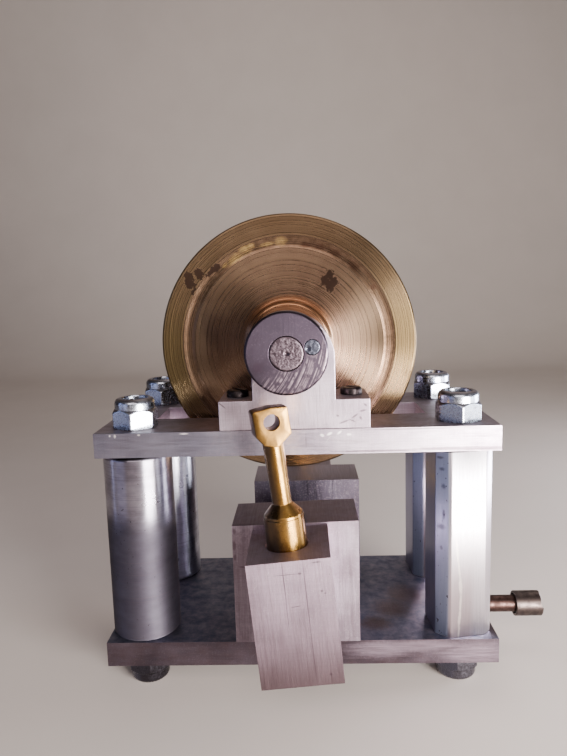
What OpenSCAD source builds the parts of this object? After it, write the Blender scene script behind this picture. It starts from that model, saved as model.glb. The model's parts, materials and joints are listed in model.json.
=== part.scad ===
// Small twin oscillating-cylinder steam engine, built by hand from bar and plate.
// Two plates stand apart on four posts. A brass flywheel turns in a slot of the top plate,
// and at each end of its shaft a cylinder block rocks on the face of a port block.
// Both piston rods are off their crank pins, which are broken away flush with the discs.
// Front is -Y, up is +Z. The origin is under the middle of the whole engine, on the table.

/* [Plates] */
// Length of both plates, left to right
plate_l = 125; // [120:0.5:140]
// Depth of the bottom plate, front to back
plate_d = 65; // [62:0.5:76]
// Thickness of the bottom plate
plate_t = 8; // [7.5:0.1:12]
// How far the top plate's long edges stand inside those of the bottom plate
top_setback = 1; // [0:0.1:3]
// Thickness of the top plate
top_plate_t = 7.8; // [6:0.1:12]
// Length of the flywheel's slot in the top plate
slot_l = 90.4; // [86:0.1:94]
// Width of the flywheel's slot
slot_w = 20.4; // [18:0.1:24]

/* [Posts] */
// Diameter of the four posts
post_d = 22; // [18:0.1:24]
// Length of the posts between the plates
post_l = 60.7; // [56:0.1:80]
// Chamfer turned on the round posts' ends
post_chamfer = 0.9; // [0.2:0.1:2]
// Depth of the flat milled on the front of the two squared posts on the right
post_flat_front = 1.5; // [0.5:0.1:2.5]
// Depth of their left flat
post_flat_left = 2.2; // [0.5:0.1:2.5]
// Depth of the rough sawn flat between the left and the front one
post_flat_corner = 0.2; // [0.1:0.1:2]
// Depth of their right flat
post_flat_right = 2.6; // [0.5:0.1:3.6]
// Depth of their back flat
post_flat_back = 1.3; // [0.5:0.1:2.5]
// Turn of the squared posts' flats about their own axis, in degrees
post_turn = 9; // [0:1:15]

/* [Studs and nuts] */
// Diameter of the threaded studs through the posts
stud_d = 8; // [6:0.1:8.5]
// Width across the flats of the lock nuts
nut_across_flats = 13; // [12:0.1:15]
// Height of a nut's hexagon
nut_hex_h = 6.2; // [5:0.1:8]
// Whole height of a nut with its round collar
nut_h = 9.6; // [9:0.1:12]
// Wall of the collar that is rolled over the nylon ring
nut_collar_wall = 1; // [0.6:0.1:1.2]
// How far a stud's end lies below the nut's collar
stud_end_drop = 2.4; // [0.5:0.1:3]

/* [Shaft and crank discs] */
// Sideways place of the crankshaft from the plates' middle
shaft_x = -1.9; // [-4:0.1:4]
// Height of the crankshaft above the top plate
shaft_h = 24.2; // [22:0.1:27]
// Diameter of the crankshaft
shaft_d = 10.2; // [8:0.1:11]
// Diameter of the crank discs
crank_disc_d = 24.6; // [24:0.1:28]
// Thickness of the crank discs
crank_disc_t = 7.2; // [5:0.1:8]
// Chamfer on the rim of a crank disc
crank_disc_chamfer = 0.6; // [0.2:0.1:1.5]
// Gap between a crank disc and its bearing block
crank_disc_gap = 1; // [0.3:0.1:1.5]
// Throw of the crank pins
crank_throw = 7.7; // [7.6:0.1:8.5]
// Angle of the front crank pin above the horizontal, in degrees
crank_angle = 13; // [0:1:90]
// Diameter of the broken crank pins
crank_pin_d = 4.5; // [3:0.1:4.6]
// Chamfer on the shaft's ends
shaft_chamfer = 0.3; // [0.1:0.1:1]
// Diameter of the lathe centre's dimple in the shaft's ends
dimple_d = 1.4; // [0.6:0.1:3]

/* [Flywheel] */
// Diameter of the flywheel
wheel_d = 86; // [80:0.5:90]
// Thickness of the flywheel's disc
wheel_t = 13; // [10:0.1:14]
// Diameter of the flywheel's boss
boss_d = 29.4; // [24:0.1:34]
// Distance from the boss's end to the bearing block
boss_gap = 0.4; // [0.2:0.1:2]
// Outer diameter of the groove turned in each face
groove_outer_d = 71.4; // [66:0.1:76]
// Width of that groove
groove_w = 3.7; // [2:0.1:6]
// Depth of that groove
groove_depth = 0.3; // [0.2:0.1:2]
// Chamfer on the flywheel's rim
wheel_chamfer = 0.5; // [0.2:0.1:2]
// Chamfer on the boss's ends
boss_chamfer = 1.2; // [0.2:0.1:2]

/* [Bearing blocks] */
// Width of a bearing block's foot
foot_w = 46.2; // [44:0.1:60]
// Height of a bearing block's foot
foot_block_h = 9.2; // [7:0.1:11]
// Width of a bearing block's upright
upright_w = 25.3; // [22:0.1:28]
// Height of a bearing block above the top plate
bearing_h = 34.6; // [33:0.1:38]
// Depth of a bearing block, front to back
bearing_d = 19.4; // [14:0.1:20]
// Sideways place of the bearing blocks from the plates' middle
bearing_x = -0.2; // [-2:0.1:2]
// Spacing of the two screws in a bearing block's foot
foot_screw_spacing = 36; // [35:0.5:38]
// Diameter of the screws' heads
foot_screw_head_d = 7; // [5.5:0.1:8]
// Height of the screws' heads
foot_screw_head_h = 2.2; // [2:0.1:5]
// Diameter of the screws' shanks
foot_screw_d = 4; // [3:0.1:4]

/* [Port blocks] */
// Width of a port block
port_w = 39.4; // [34:0.1:44]
// Depth of a port block, front to back
port_d = 21; // [18:0.1:22]
// Height of a port block
port_h = 39.2; // [37:0.1:44]
// How much higher the front block's right edge is than its left, as it was sawn
port_top_rise = 1.1; // [0:0.1:2]
// How far a port block's running face stands out past the bottom plate
port_proud = 0.3; // [0.1:0.1:1]
// Sideways place of the front port block from the plates' middle
port_front_x = -0.9; // [-4:0.1:4]
// Sideways place of the rear port block from the plates' middle
port_rear_x = 2.9; // [-4:0.1:4]

/* [Cylinders] */
// Width of a cylinder block
cylinder_w = 23.5; // [22:0.1:28]
// Depth of a cylinder block, front to back
cylinder_d = 25.5; // [24:0.1:28]
// Height of a cylinder block
cylinder_h = 37; // [34:0.1:37]
// Lean of the cylinder blocks to the left, in degrees
cylinder_lean = 5.1; // [0:0.1:6]
// Depth of the cylinder's bore from its open top
bore_depth = 33; // [30:0.1:33]
// How far the bore lies to the left of its block's middle
bore_offset = 0.5; // [0:0.1:1]
// Chamfer round the bore's mouth
bore_chamfer = 0.5; // [0.1:0.1:1]
// Diameter of the stud that a cylinder block rocks on
pivot_d = 5; // [4:0.1:6]
// Length of the spring on the pivot stud
spring_l = 4; // [3.6:0.1:5]
// Wire of that spring
spring_wire_d = 0.8; // [0.5:0.05:0.85]
// Inner diameter of the spring's coil
spring_inner_d = 6; // [6:0.1:7]
// Turns of the spring
spring_turns = 3.5; // [2:0.25:3.5]
// Height of the nut that holds the spring
pivot_nut_h = 2.7; // [2:0.1:4]
// Width across the flats of that nut
pivot_nut_across_flats = 8; // [7:0.1:10]
// How far the stud's end stands out of that nut
pivot_end = 0.5; // [0.2:0.1:1]

/* [Air ways] */
// Diameter of the ports in the running faces
port_hole_d = 1.5; // [1:0.1:1.6]
// How far the cylinder's port lies above the floor of its bore
port_floor_gap = 0.15; // [0.05:0.05:1]
// Diameter of the long air way drilled in from the inlet
gallery_d = 3.4; // [2:0.1:4]
// Diameter of the air ways drilled across from it towards the port blocks
cross_way_d = 3; // [1.8:0.1:3.9]
// Diameter of the risers that lead up into the port blocks
riser_d = 2.4; // [1.6:0.1:3.8]

/* [Pistons and rods] */
// Diameter of a piston
piston_d = 11.8; // [10:0.1:13]
// Length of a piston up to its edge
piston_l = 41.7; // [38:0.1:44]
// Depth of the step turned at the piston's edge
piston_step = 0.2; // [0.1:0.1:1]
// Length of the shallower step above the piston's edge
piston_step_l = 0.8; // [0.5:0.1:3]
// Length of the cone from the piston down to the rod
piston_cone_l = 3.1; // [2:0.1:6]
// Chamfer on the piston's foot
piston_chamfer = 0.6; // [0.2:0.1:1.5]
// Diameter of the rod where it meets the cone
rod_d = 5.6; // [4:0.1:6]
// Diameter of the rod under the eye, where it is a little thicker
rod_top_d = 6.1; // [5:0.1:7]
// Bend of the rod to the left where it leaves the cone, in degrees
rod_bend = 1.7; // [0:0.1:3]
// Distance from the piston's foot to the middle of the eye
eye_height = 69.7; // [66:0.1:76]
// Width of the eye
eye_w = 10.3; // [8:0.1:12]
// Height of the eye's crown above its hole's middle
eye_crown_h = 4.2; // [3.2:0.1:6]
// Radius of that crown
eye_crown_r = 22; // [7:0.1:40]
// Depth below the hole's middle where the eye's sides turn in
eye_side_h = 4.1; // [3:0.1:6]
// Depth below the hole's middle where the eye's two shoulders end on the rod
eye_neck_h = 7.1; // [6.2:0.1:9]
// Width between the shoulders there
eye_neck_w = 2.4; // [1:0.1:6]
// Thickness of the eye, along its hole
eye_t = 6.4; // [5:0.1:7]
// Diameter of the eye's hole
eye_hole_d = 4.6; // [4:0.1:5]
// Turn of the eye about the rod, in degrees
eye_turn = 15; // [0:1:30]

/* [Air inlet] */
// Diameter of the inlet pipe
inlet_pipe_d = 5.9; // [5:0.05:6.5]
// How far the sleeve's end stands out from the bottom plate
inlet_reach = 23.5; // [20:0.1:40]
// How far the inlet lies in front of the engine's middle
inlet_offset = 1.7; // [0:0.1:5]
// Diameter of the brass sleeve on the pipe
inlet_sleeve_d = 8.8; // [8.5:0.1:12]
// Length of that sleeve
inlet_sleeve_l = 9.4; // [8:0.1:14]
// Depth of the free socket in the sleeve's end
inlet_socket_l = 6; // [4:0.1:6]
// Diameter of that socket
inlet_socket_d = 7; // [6.9:0.1:7.6]
// How far the pipe's end stops short of the socket's floor
inlet_pipe_short = 0.4; // [0.1:0.1:1]
// Bore of the inlet pipe
inlet_bore_d = 4; // [3:0.1:4.2]
// How deep the pipe is seated in the bottom plate
inlet_seat_l = 9; // [6:0.1:12]

/* [Clearances] */
// Radial gap between a stud or screw and its hole
hole_gap = 0.25; // [0.1:0.05:0.4]
// Radial gap of a shaft, piston or pivot in its bore
running_gap = 0.05; // [0.02:0.01:0.08]
// Radial gap between pieces that are pressed or screwed together
seat_gap = 0.03; // [0.02:0.01:0.05]
// Film between a cylinder block and its port block
face_gap = 0.05; // [0.02:0.01:0.1]

/* [Hidden] */
$fn = 64;
eps = 1;
bed_x = -inlet_reach / 2;
bottom_z = nut_h;
deck_z = bottom_z + plate_t;
top_z = deck_z + post_l;
table_z = top_z + top_plate_t;
shaft_z = table_z + shaft_h;
top_plate_d = plate_d - 2 * top_setback;
post_x = (plate_l - post_d) / 2;
post_y = (plate_d - post_d) / 2;
hex_round_d = nut_across_flats / cos(30);
nut_crown_d = nut_across_flats - 0.3;
nut_crown_r = 1.7;
nut_chamfer = 0.8;
nut_shoulder = 1.2;
nut_mouth_d = stud_d + 0.5;
nut_groove_d = nut_crown_d - 2 * nut_collar_wall;
ring_h = (nut_h - nut_hex_h) / 2;
slot_edge_y = slot_w / 2;
bearing_front_y = -top_plate_d / 2;
disc_back_y = bearing_front_y - crank_disc_gap;
disc_face_y = disc_back_y - crank_disc_t;
boss_half = top_plate_d / 2 - bearing_d - boss_gap;
port_face_y = -plate_d / 2 - port_proud;
pivot_z = deck_z + port_h / 2;
cylinder_back_y = port_face_y - face_gap;
rod_y = cylinder_back_y - cylinder_d / 2;
bore_floor = cylinder_h / 2 - bore_depth;
bore_d = piston_d + 2 * running_gap;
rod_foot_z = piston_l + piston_step_l + piston_cone_l;
rod_root = 0.5;
pivot_depth = 1.5;
pivot_tip_y = port_face_y + port_d + spring_l + pivot_nut_h + pivot_end;
spring_r = (spring_inner_d + spring_wire_d) / 2;
spring_pitch = (spring_l - 2 * face_gap - spring_wire_d) / spring_turns;
inlet_z = bottom_z + plate_t / 2;
inlet_y = -inlet_offset;
inlet_end_x = plate_l / 2 + inlet_reach;
inlet_pipe_l = inlet_seat_l + inlet_reach - inlet_socket_l - inlet_pipe_short;
swing = asin(crank_throw / (shaft_z - pivot_z));
port_drop = -bore_floor - port_hole_d / 2 - port_floor_gap;
port_shift = port_drop * sin(swing);
port_z = pivot_z - port_drop * cos(swing);
riser_y = port_face_y + port_d / 2;

// Frames that the pieces are drawn in

// Moves a piece drawn from the plates' middle into the engine's own frame
module placed() translate([bed_x, 0, 0]) children();

// The rear half is the front half seen in a mirror
module at_rear() mirror([0, 1, 0]) children();

// A cylinder lying front to back, from the face nearer the front
module cross_cylinder(d, l) rotate([-90, 0, 0]) cylinder(d = d, h = l);

// The post's axis at a corner, side -1 is left or front
module at_post(side_x, side_y) translate([side_x * post_x, side_y * post_y, 0]) children();

// The axis that a cylinder block rocks with, from its pivot, before the mirror of the rear one
module on_cylinder_axis(x) translate([x, rod_y, pivot_z]) rotate([0, -cylinder_lean, 0]) children();

// Points of an arc round [x, z], from one angle to another
function arc(x, z, r, from, to, steps = 6) = [
  for (i = [0:steps]) let (a = from + (to - from) * i / steps) [x + r * cos(a), z + r * sin(a)]
];

// Plates

module stud_holes(z, h) {
  for (sx = [-1, 1], sy = [-1, 1])
    at_post(sx, sy) translate([0, 0, z - eps]) cylinder(d = stud_d + 2 * hole_gap, h = h + 2 * eps);
}

module bottom_plate() {
  color("silver") placed() difference() {
    translate([-plate_l / 2, -plate_d / 2, bottom_z]) cube([plate_l, plate_d, plate_t]);
    stud_holes(bottom_z, plate_t);
    along_inlet(plate_l / 2 - inlet_seat_l)
      cylinder(d = inlet_pipe_d + 2 * seat_gap, h = inlet_seat_l + eps);
    air_way();
  }
}

// The air's way from the inlet to a riser under each port block, its drilled ends plugged flush
module air_way() {
  front_x = port_front_x + port_shift;
  rear_x = port_rear_x + port_shift;
  from_x = front_x - gallery_d / 2;
  across_l = cross_way_d / 2 - riser_y;
  along_inlet(from_x)
    cylinder(d = gallery_d, h = plate_l / 2 - inlet_seat_l - from_x + eps);
  translate([front_x, -across_l, inlet_z]) cross_cylinder(cross_way_d, across_l);
  translate([rear_x, inlet_y, inlet_z]) cross_cylinder(cross_way_d, across_l - inlet_y);
  translate([front_x, riser_y, inlet_z]) cylinder(d = riser_d, h = plate_t);
  translate([rear_x, -riser_y, inlet_z]) cylinder(d = riser_d, h = plate_t);
}

module top_plate() {
  color("silver") placed() difference() {
    translate([-plate_l / 2, -top_plate_d / 2, top_z]) cube([plate_l, top_plate_d, top_plate_t]);
    stud_holes(top_z, top_plate_t);
    translate([shaft_x - slot_l / 2, -slot_w / 2, top_z - eps]) cube([slot_l, slot_w, top_plate_t + 2 * eps]);
    bearing_screw_places() translate([0, 0, top_z - eps])
      cylinder(d = foot_screw_d + 2 * seat_gap, h = top_plate_t + 2 * eps);
  }
}

// Posts, studs and lock nuts

module round_post() {
  translate([0, 0, deck_z]) difference() {
    rotate_extrude() polygon([
      [0, 0], [post_d / 2 - post_chamfer, 0], [post_d / 2, post_chamfer],
      [post_d / 2, post_l - post_chamfer], [post_d / 2 - post_chamfer, post_l], [0, post_l]
    ]);
    translate([0, 0, -eps]) cylinder(d = stud_d + 2 * hole_gap, h = post_l + 2 * eps);
  }
}

// A round bar with flats, each given by the direction that it faces and its depth
module squared_post() {
  flats = [
    [0, post_flat_right], [90, post_flat_back], [174, post_flat_left],
    [222, post_flat_corner], [270, post_flat_front]
  ];
  translate([0, 0, deck_z]) rotate([0, 0, post_turn]) difference() {
    cylinder(d = post_d, h = post_l);
    for (flat = flats)
      rotate([0, 0, flat[0]]) translate([post_d / 2 - flat[1], -post_d / 2, -eps])
        cube([post_d, post_d, post_l + 2 * eps]);
    translate([0, 0, -eps]) cylinder(d = stud_d + 2 * hole_gap, h = post_l + 2 * eps);
  }
}

module post_front_left() color("lightgray") placed() at_post(-1, -1) round_post();
module post_rear_left() color("lightgray") placed() at_post(-1, 1) round_post();
module post_front_right() color("lightgray") placed() at_post(1, -1) squared_post();
module post_rear_right() color("lightgray") placed() at_post(1, 1) squared_post();

module stud() {
  translate([0, 0, stud_end_drop]) cylinder(d = stud_d, h = table_z + nut_h - 2 * stud_end_drop);
}

module stud_front_left() color("darkgray") placed() at_post(-1, -1) stud();
module stud_rear_left() color("darkgray") placed() at_post(-1, 1) stud();
module stud_front_right() color("darkgray") placed() at_post(1, -1) stud();
module stud_rear_right() color("darkgray") placed() at_post(1, 1) stud();

// A lock nut standing on its hexagon: hexagon with rounded corners, round collar that is rolled
// over at the top, and the groove for the nylon
module lock_nut() {
  collar_r = nut_crown_d / 2;
  difference() {
    union() {
      intersection() {
        cylinder(d = hex_round_d, h = nut_hex_h, $fn = 6);
        rotate_extrude() polygon(concat(
          [[0, 0], [hex_round_d / 2 - nut_chamfer, 0]],
          arc(hex_round_d / 2 - nut_chamfer, nut_chamfer, nut_chamfer, -60, 0, 3),
          [[hex_round_d / 2, nut_hex_h - nut_shoulder], [collar_r, nut_hex_h], [0, nut_hex_h]]
        ));
      }
      rotate_extrude() polygon(concat(
        [[0, nut_hex_h - nut_shoulder], [collar_r, nut_hex_h - nut_shoulder]],
        arc(collar_r - nut_crown_r, nut_h - nut_crown_r, nut_crown_r, 0, 90),
        [[0, nut_h]]
      ));
    }
    translate([0, 0, -eps]) cylinder(d = stud_d + 2 * seat_gap, h = nut_hex_h + 2 * eps);
    translate([0, 0, nut_hex_h]) cylinder(d = nut_groove_d, h = ring_h);
    translate([0, 0, nut_hex_h]) cylinder(d = nut_mouth_d, h = nut_h);
  }
}

module top_nut(turn) translate([0, 0, table_z]) rotate([0, 0, turn]) lock_nut();
module foot_nut(turn) translate([0, 0, bottom_z]) rotate([180, 0, turn]) lock_nut();

module nut_top_front_left() color("gainsboro") placed() at_post(-1, -1) top_nut(31);
module nut_top_rear_left() color("gainsboro") placed() at_post(-1, 1) top_nut(35);
module nut_top_front_right() color("gainsboro") placed() at_post(1, -1) top_nut(29);
module nut_top_rear_right() color("gainsboro") placed() at_post(1, 1) top_nut(17);
module nut_foot_front_left() color("gainsboro") placed() at_post(-1, -1) foot_nut(42);
module nut_foot_rear_left() color("gainsboro") placed() at_post(-1, 1) foot_nut(8);
module nut_foot_front_right() color("gainsboro") placed() at_post(1, -1) foot_nut(22);
module nut_foot_rear_right() color("gainsboro") placed() at_post(1, 1) foot_nut(44);

// The nylon rings in the eight nuts' collars
module nylon_ring() {
  translate([0, 0, nut_hex_h]) difference() {
    cylinder(d = nut_groove_d - 2 * seat_gap, h = ring_h - seat_gap);
    translate([0, 0, -eps]) cylinder(d = stud_d + 2 * seat_gap, h = ring_h + 2 * eps);
  }
}

module nylon_rings() {
  color("whitesmoke") placed() for (sx = [-1, 1], sy = [-1, 1]) {
    at_post(sx, sy) translate([0, 0, table_z]) nylon_ring();
    at_post(sx, sy) translate([0, 0, bottom_z]) rotate([180, 0, 0]) nylon_ring();
  }
}

// Bearing blocks

module bearing_screw_places() {
  for (sx = [-1, 1], sy = [-1, 1])
    translate([bearing_x + sx * foot_screw_spacing / 2, sy * (top_plate_d - bearing_d) / 2, 0]) children();
}

module bearing_block() {
  difference() {
    translate([bearing_x, bearing_front_y + bearing_d, table_z]) rotate([90, 0, 0])
      linear_extrude(bearing_d) union() {
        translate([-foot_w / 2, 0]) square([foot_w, foot_block_h]);
        translate([-upright_w / 2, 0]) square([upright_w, bearing_h - upright_w / 2]);
        translate([0, bearing_h - upright_w / 2]) circle(d = upright_w);
      }
    translate([shaft_x, bearing_front_y - eps, shaft_z])
      cross_cylinder(shaft_d + 2 * running_gap, bearing_d + 2 * eps);
    bearing_screw_places() translate([0, 0, table_z - eps])
      cylinder(d = foot_screw_d + 2 * seat_gap, h = foot_block_h + 2 * eps);
  }
}

module bearing_block_front() color("silver") placed() bearing_block();
module bearing_block_rear() color("silver") placed() at_rear() bearing_block();

module bearing_screws() {
  color("dimgray") placed() bearing_screw_places() {
    translate([0, 0, top_z + eps]) cylinder(d = foot_screw_d, h = top_plate_t + foot_block_h - eps);
    translate([0, 0, table_z + foot_block_h]) cylinder(d = foot_screw_head_d, h = foot_screw_head_h);
  }
}

// Port blocks

// The inlet port meets a riser from the bottom plate, the exhaust port runs right through
module port_block(x, rise) {
  difference() {
    translate([x, port_face_y + port_d, deck_z]) rotate([90, 0, 0]) linear_extrude(port_d) polygon([
      [-port_w / 2, 0], [port_w / 2, 0],
      [port_w / 2, port_h + rise / 2], [-port_w / 2, port_h - rise / 2]
    ]);
    translate([x, port_face_y - eps, pivot_z]) cross_cylinder(pivot_d + 2 * running_gap, port_d + 2 * eps);
    translate([x + port_shift, port_face_y - eps, port_z]) cross_cylinder(port_hole_d, port_d / 2 + eps);
    translate([x + port_shift, riser_y, deck_z - eps])
      cylinder(d = riser_d, h = port_z + riser_d / 2 - deck_z + eps);
    translate([x - port_shift, port_face_y - eps, port_z]) cross_cylinder(port_hole_d, port_d + 2 * eps);
  }
}

module port_block_front() color("silver") placed() port_block(port_front_x, port_top_rise);
module port_block_rear() color("silver") placed() at_rear() port_block(port_rear_x, 0);

// Air inlet

// Lays a piece along the inlet's axis, from the given place to the right
module along_inlet(x) translate([x, inlet_y, inlet_z]) rotate([0, 90, 0]) children();

module inlet_pipe() {
  color("sienna") placed() along_inlet(plate_l / 2 - inlet_seat_l) difference() {
    cylinder(d = inlet_pipe_d, h = inlet_pipe_l);
    translate([0, 0, -eps]) cylinder(d = inlet_bore_d, h = inlet_pipe_l + 2 * eps);
  }
}

module inlet_sleeve() {
  color("peru") placed() along_inlet(inlet_end_x - inlet_sleeve_l) difference() {
    cylinder(d = inlet_sleeve_d, h = inlet_sleeve_l);
    translate([0, 0, -eps]) cylinder(d = inlet_pipe_d + 2 * seat_gap, h = inlet_sleeve_l + 2 * eps);
    translate([0, 0, inlet_sleeve_l - inlet_socket_l]) cylinder(d = inlet_socket_d, h = inlet_socket_l + eps);
  }
}

// Crankshaft

module at_shaft(y) translate([shaft_x, y, shaft_z]) children();

// The shaft runs from disc face to disc face, each end chamfered, with a dimple in its middle
module crankshaft() {
  half = -disc_face_y;
  r = shaft_d / 2;
  color("gray") placed() at_shaft(0) rotate([-90, 0, 0]) rotate_extrude() polygon([
    [0, dimple_d / 2 - half], [dimple_d / 2, -half], [r - shaft_chamfer, -half], [r, shaft_chamfer - half],
    [r, half - shaft_chamfer], [r - shaft_chamfer, half], [dimple_d / 2, half], [0, half - dimple_d / 2]
  ]);
}

// Half of the flywheel's section: bore, boss, face with its groove, rim
function wheel_side() = [
  [shaft_d / 2 + seat_gap, boss_half], [boss_d / 2 - boss_chamfer, boss_half],
  [boss_d / 2, boss_half - boss_chamfer], [boss_d / 2, wheel_t / 2],
  [groove_outer_d / 2 - groove_w, wheel_t / 2], [groove_outer_d / 2 - groove_w, wheel_t / 2 - groove_depth],
  [groove_outer_d / 2, wheel_t / 2 - groove_depth], [groove_outer_d / 2, wheel_t / 2],
  [wheel_d / 2 - wheel_chamfer, wheel_t / 2], [wheel_d / 2, wheel_t / 2 - wheel_chamfer]
];

module flywheel() {
  side = wheel_side();
  other = [for (i = [len(side) - 1:-1:0]) [side[i][0], -side[i][1]]];
  color("goldenrod") placed() at_shaft(0) rotate([-90, 0, 0])
    rotate_extrude($fn = 128) polygon(concat(side, other));
}

// A crank disc with the hole of its pin, angle is the pin's above the horizontal
module crank_disc(angle) {
  r = crank_disc_d / 2;
  at_shaft(disc_face_y) difference() {
    rotate([-90, 0, 0]) rotate_extrude() polygon([
      [0, 0], [r - crank_disc_chamfer, 0], [r, crank_disc_chamfer], [r, crank_disc_t], [0, crank_disc_t]
    ]);
    translate([0, -eps, 0]) cross_cylinder(shaft_d + 2 * seat_gap, crank_disc_t + 2 * eps);
    rotate([0, -angle, 0]) translate([crank_throw, -eps, 0])
      cross_cylinder(crank_pin_d + 2 * seat_gap, crank_disc_t + 2 * eps);
  }
}

module crank_pin(angle) {
  at_shaft(disc_face_y) rotate([0, -angle, 0]) translate([crank_throw, 0, 0])
    cross_cylinder(crank_pin_d, crank_disc_t);
}

module crank_disc_front() color("silver") placed() crank_disc(crank_angle);
module crank_disc_rear() color("silver") placed() at_rear() crank_disc(crank_angle + 180);
module crank_pin_front() color("slategray") placed() crank_pin(crank_angle);
module crank_pin_rear() color("slategray") placed() at_rear() crank_pin(crank_angle + 180);

// Cylinder blocks and what they rock on

// The bore is open at the top, and a port leads to its floor from the running face
module cylinder_block(x) {
  on_cylinder_axis(x) difference() {
    translate([-cylinder_w / 2, -cylinder_d / 2, -cylinder_h / 2]) cube([cylinder_w, cylinder_d, cylinder_h]);
    translate([-bore_offset, 0, bore_floor]) rotate_extrude() polygon([
      [0, 0], [bore_d / 2, 0], [bore_d / 2, bore_depth - bore_chamfer],
      [bore_d / 2 + bore_chamfer + eps, bore_depth + eps], [0, bore_depth + eps]
    ]);
    translate([0, bore_d / 2 + 1, 0]) cross_cylinder(pivot_d + 2 * seat_gap, cylinder_d);
    translate([0, 0, -port_drop]) cross_cylinder(port_hole_d, cylinder_d);
  }
}

module pivot_stud(x) {
  foot_y = rod_y + bore_d / 2 + pivot_depth;
  translate([x, foot_y, pivot_z]) cross_cylinder(pivot_d, pivot_tip_y - foot_y);
}

// The spring is a round wire swept round the pivot: ring i is an octagon at turn i of the coil
spring_steps = 14;
function spring_ring(i) = let (
  a = 360 * i / spring_steps,
  y = face_gap + spring_wire_d / 2 + spring_pitch * i / spring_steps
) [
  for (k = [0:7]) let (b = 45 * k, r = spring_r + spring_wire_d / 2 * cos(b))
    [r * cos(a), y + spring_wire_d / 2 * sin(b), r * sin(a)]
];

module pivot_spring(x) {
  rings = floor(spring_turns * spring_steps);
  points = [for (i = [0:rings]) each spring_ring(i)];
  sides = [for (i = [0:rings - 1], k = [0:7]) [
    8 * i + k, 8 * i + (k + 1) % 8, 8 * i + 8 + (k + 1) % 8, 8 * i + 8 + k
  ]];
  first = [[7, 6, 5, 4, 3, 2, 1, 0]];
  last = [[for (k = [0:7]) 8 * rings + k]];
  translate([x, port_face_y + port_d, pivot_z]) polyhedron(points, concat(sides, first, last));
}

module pivot_nut(x) {
  translate([x, port_face_y + port_d + spring_l, pivot_z]) rotate([-90, 0, 0]) difference() {
    cylinder(d = pivot_nut_across_flats / cos(30), h = pivot_nut_h, $fn = 6);
    translate([0, 0, -eps]) cylinder(d = pivot_d + 2 * seat_gap, h = pivot_nut_h + 2 * eps);
  }
}

module cylinder_front() color("silver") placed() cylinder_block(port_front_x);
module pivot_stud_front() color("gray") placed() pivot_stud(port_front_x);
module pivot_spring_front() color("gray") placed() pivot_spring(port_front_x);
module pivot_nut_front() color("gainsboro") placed() pivot_nut(port_front_x);
module cylinder_rear() color("silver") placed() at_rear() cylinder_block(port_rear_x);
module pivot_stud_rear() color("gray") placed() at_rear() pivot_stud(port_rear_x);
module pivot_spring_rear() color("gray") placed() at_rear() pivot_spring(port_rear_x);
module pivot_nut_rear() color("gainsboro") placed() at_rear() pivot_nut(port_rear_x);

// Piston and rod in one piece, the rod a little bent, with a flat-sided eye

// The eye seen along its hole: crowned top, straight sides, and shoulders that run in to the rod
module eye_outline() {
  neck = eye_neck_w / 2;
  intersection() {
    polygon([
      [-neck, -eye_neck_h], [neck, -eye_neck_h], [eye_w / 2, -eye_side_h], [eye_w / 2, eye_crown_h],
      [-eye_w / 2, eye_crown_h], [-eye_w / 2, -eye_side_h]
    ]);
    translate([0, eye_crown_h - eye_crown_r]) circle(r = eye_crown_r);
  }
}

// The piston and its cone, measured from the piston's foot
module turned_piston() {
  r = piston_d / 2;
  step_r = r - piston_step;
  cone_z = piston_l + piston_step_l;
  rotate_extrude() polygon([
    [0, 0], [r - piston_chamfer, 0], [r, piston_chamfer], [r, piston_l - piston_step / 2],
    [r - piston_step / 2, piston_l], [step_r, piston_l], [step_r, cone_z],
    [rod_d / 2, rod_foot_z], [0, rod_foot_z]
  ]);
}

// The rod, measured from the middle of the cone's top, and the eye that it runs up into
module rod_and_eye() {
  eye_z = eye_height - rod_foot_z;
  rotate_extrude() polygon([
    [0, -rod_root], [rod_d / 2, -rod_root], [rod_top_d / 2, eye_z - eye_side_h - rod_root],
    [0, eye_z - eye_side_h - rod_root]
  ]);
  rotate([0, 0, eye_turn]) translate([0, eye_t / 2, eye_z]) rotate([90, 0, 0])
    linear_extrude(eye_t) difference() {
      eye_outline();
      circle(d = eye_hole_d);
    }
}

module piston_rod(x) {
  on_cylinder_axis(x) translate([-bore_offset, 0, bore_floor]) {
    turned_piston();
    translate([0, 0, rod_foot_z]) rotate([0, -rod_bend, 0]) rod_and_eye();
  }
}

module piston_rod_front() color("goldenrod") placed() piston_rod(port_front_x);
module piston_rod_rear() color("goldenrod") placed() at_rear() piston_rod(port_rear_x);

bottom_plate();
top_plate();
post_front_left();
post_rear_left();
post_front_right();
post_rear_right();
stud_front_left();
stud_rear_left();
stud_front_right();
stud_rear_right();
nut_top_front_left();
nut_top_rear_left();
nut_top_front_right();
nut_top_rear_right();
nut_foot_front_left();
nut_foot_rear_left();
nut_foot_front_right();
nut_foot_rear_right();
nylon_rings();
bearing_block_front();
bearing_block_rear();
bearing_screws();
port_block_front();
port_block_rear();
inlet_pipe();
inlet_sleeve();
crankshaft();
flywheel();
crank_disc_front();
crank_disc_rear();
crank_pin_front();
crank_pin_rear();
cylinder_front();
pivot_stud_front();
pivot_spring_front();
pivot_nut_front();
cylinder_rear();
pivot_stud_rear();
pivot_spring_rear();
pivot_nut_rear();
piston_rod_front();
piston_rod_rear();
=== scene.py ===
"""Small twin oscillating-cylinder steam engine, dressed for a studio picture.

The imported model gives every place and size. Each visible piece is either a surface worked out
here with numpy or a bevelled copy of its node, in the engine's own frame: front is -Y, up is +Z.
Forms are written in millimetres and turned to metres when they become meshes.
"""
import itertools
import json
import math

import bmesh
import bpy
import numpy as np
from mathutils import Matrix, Vector

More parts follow.
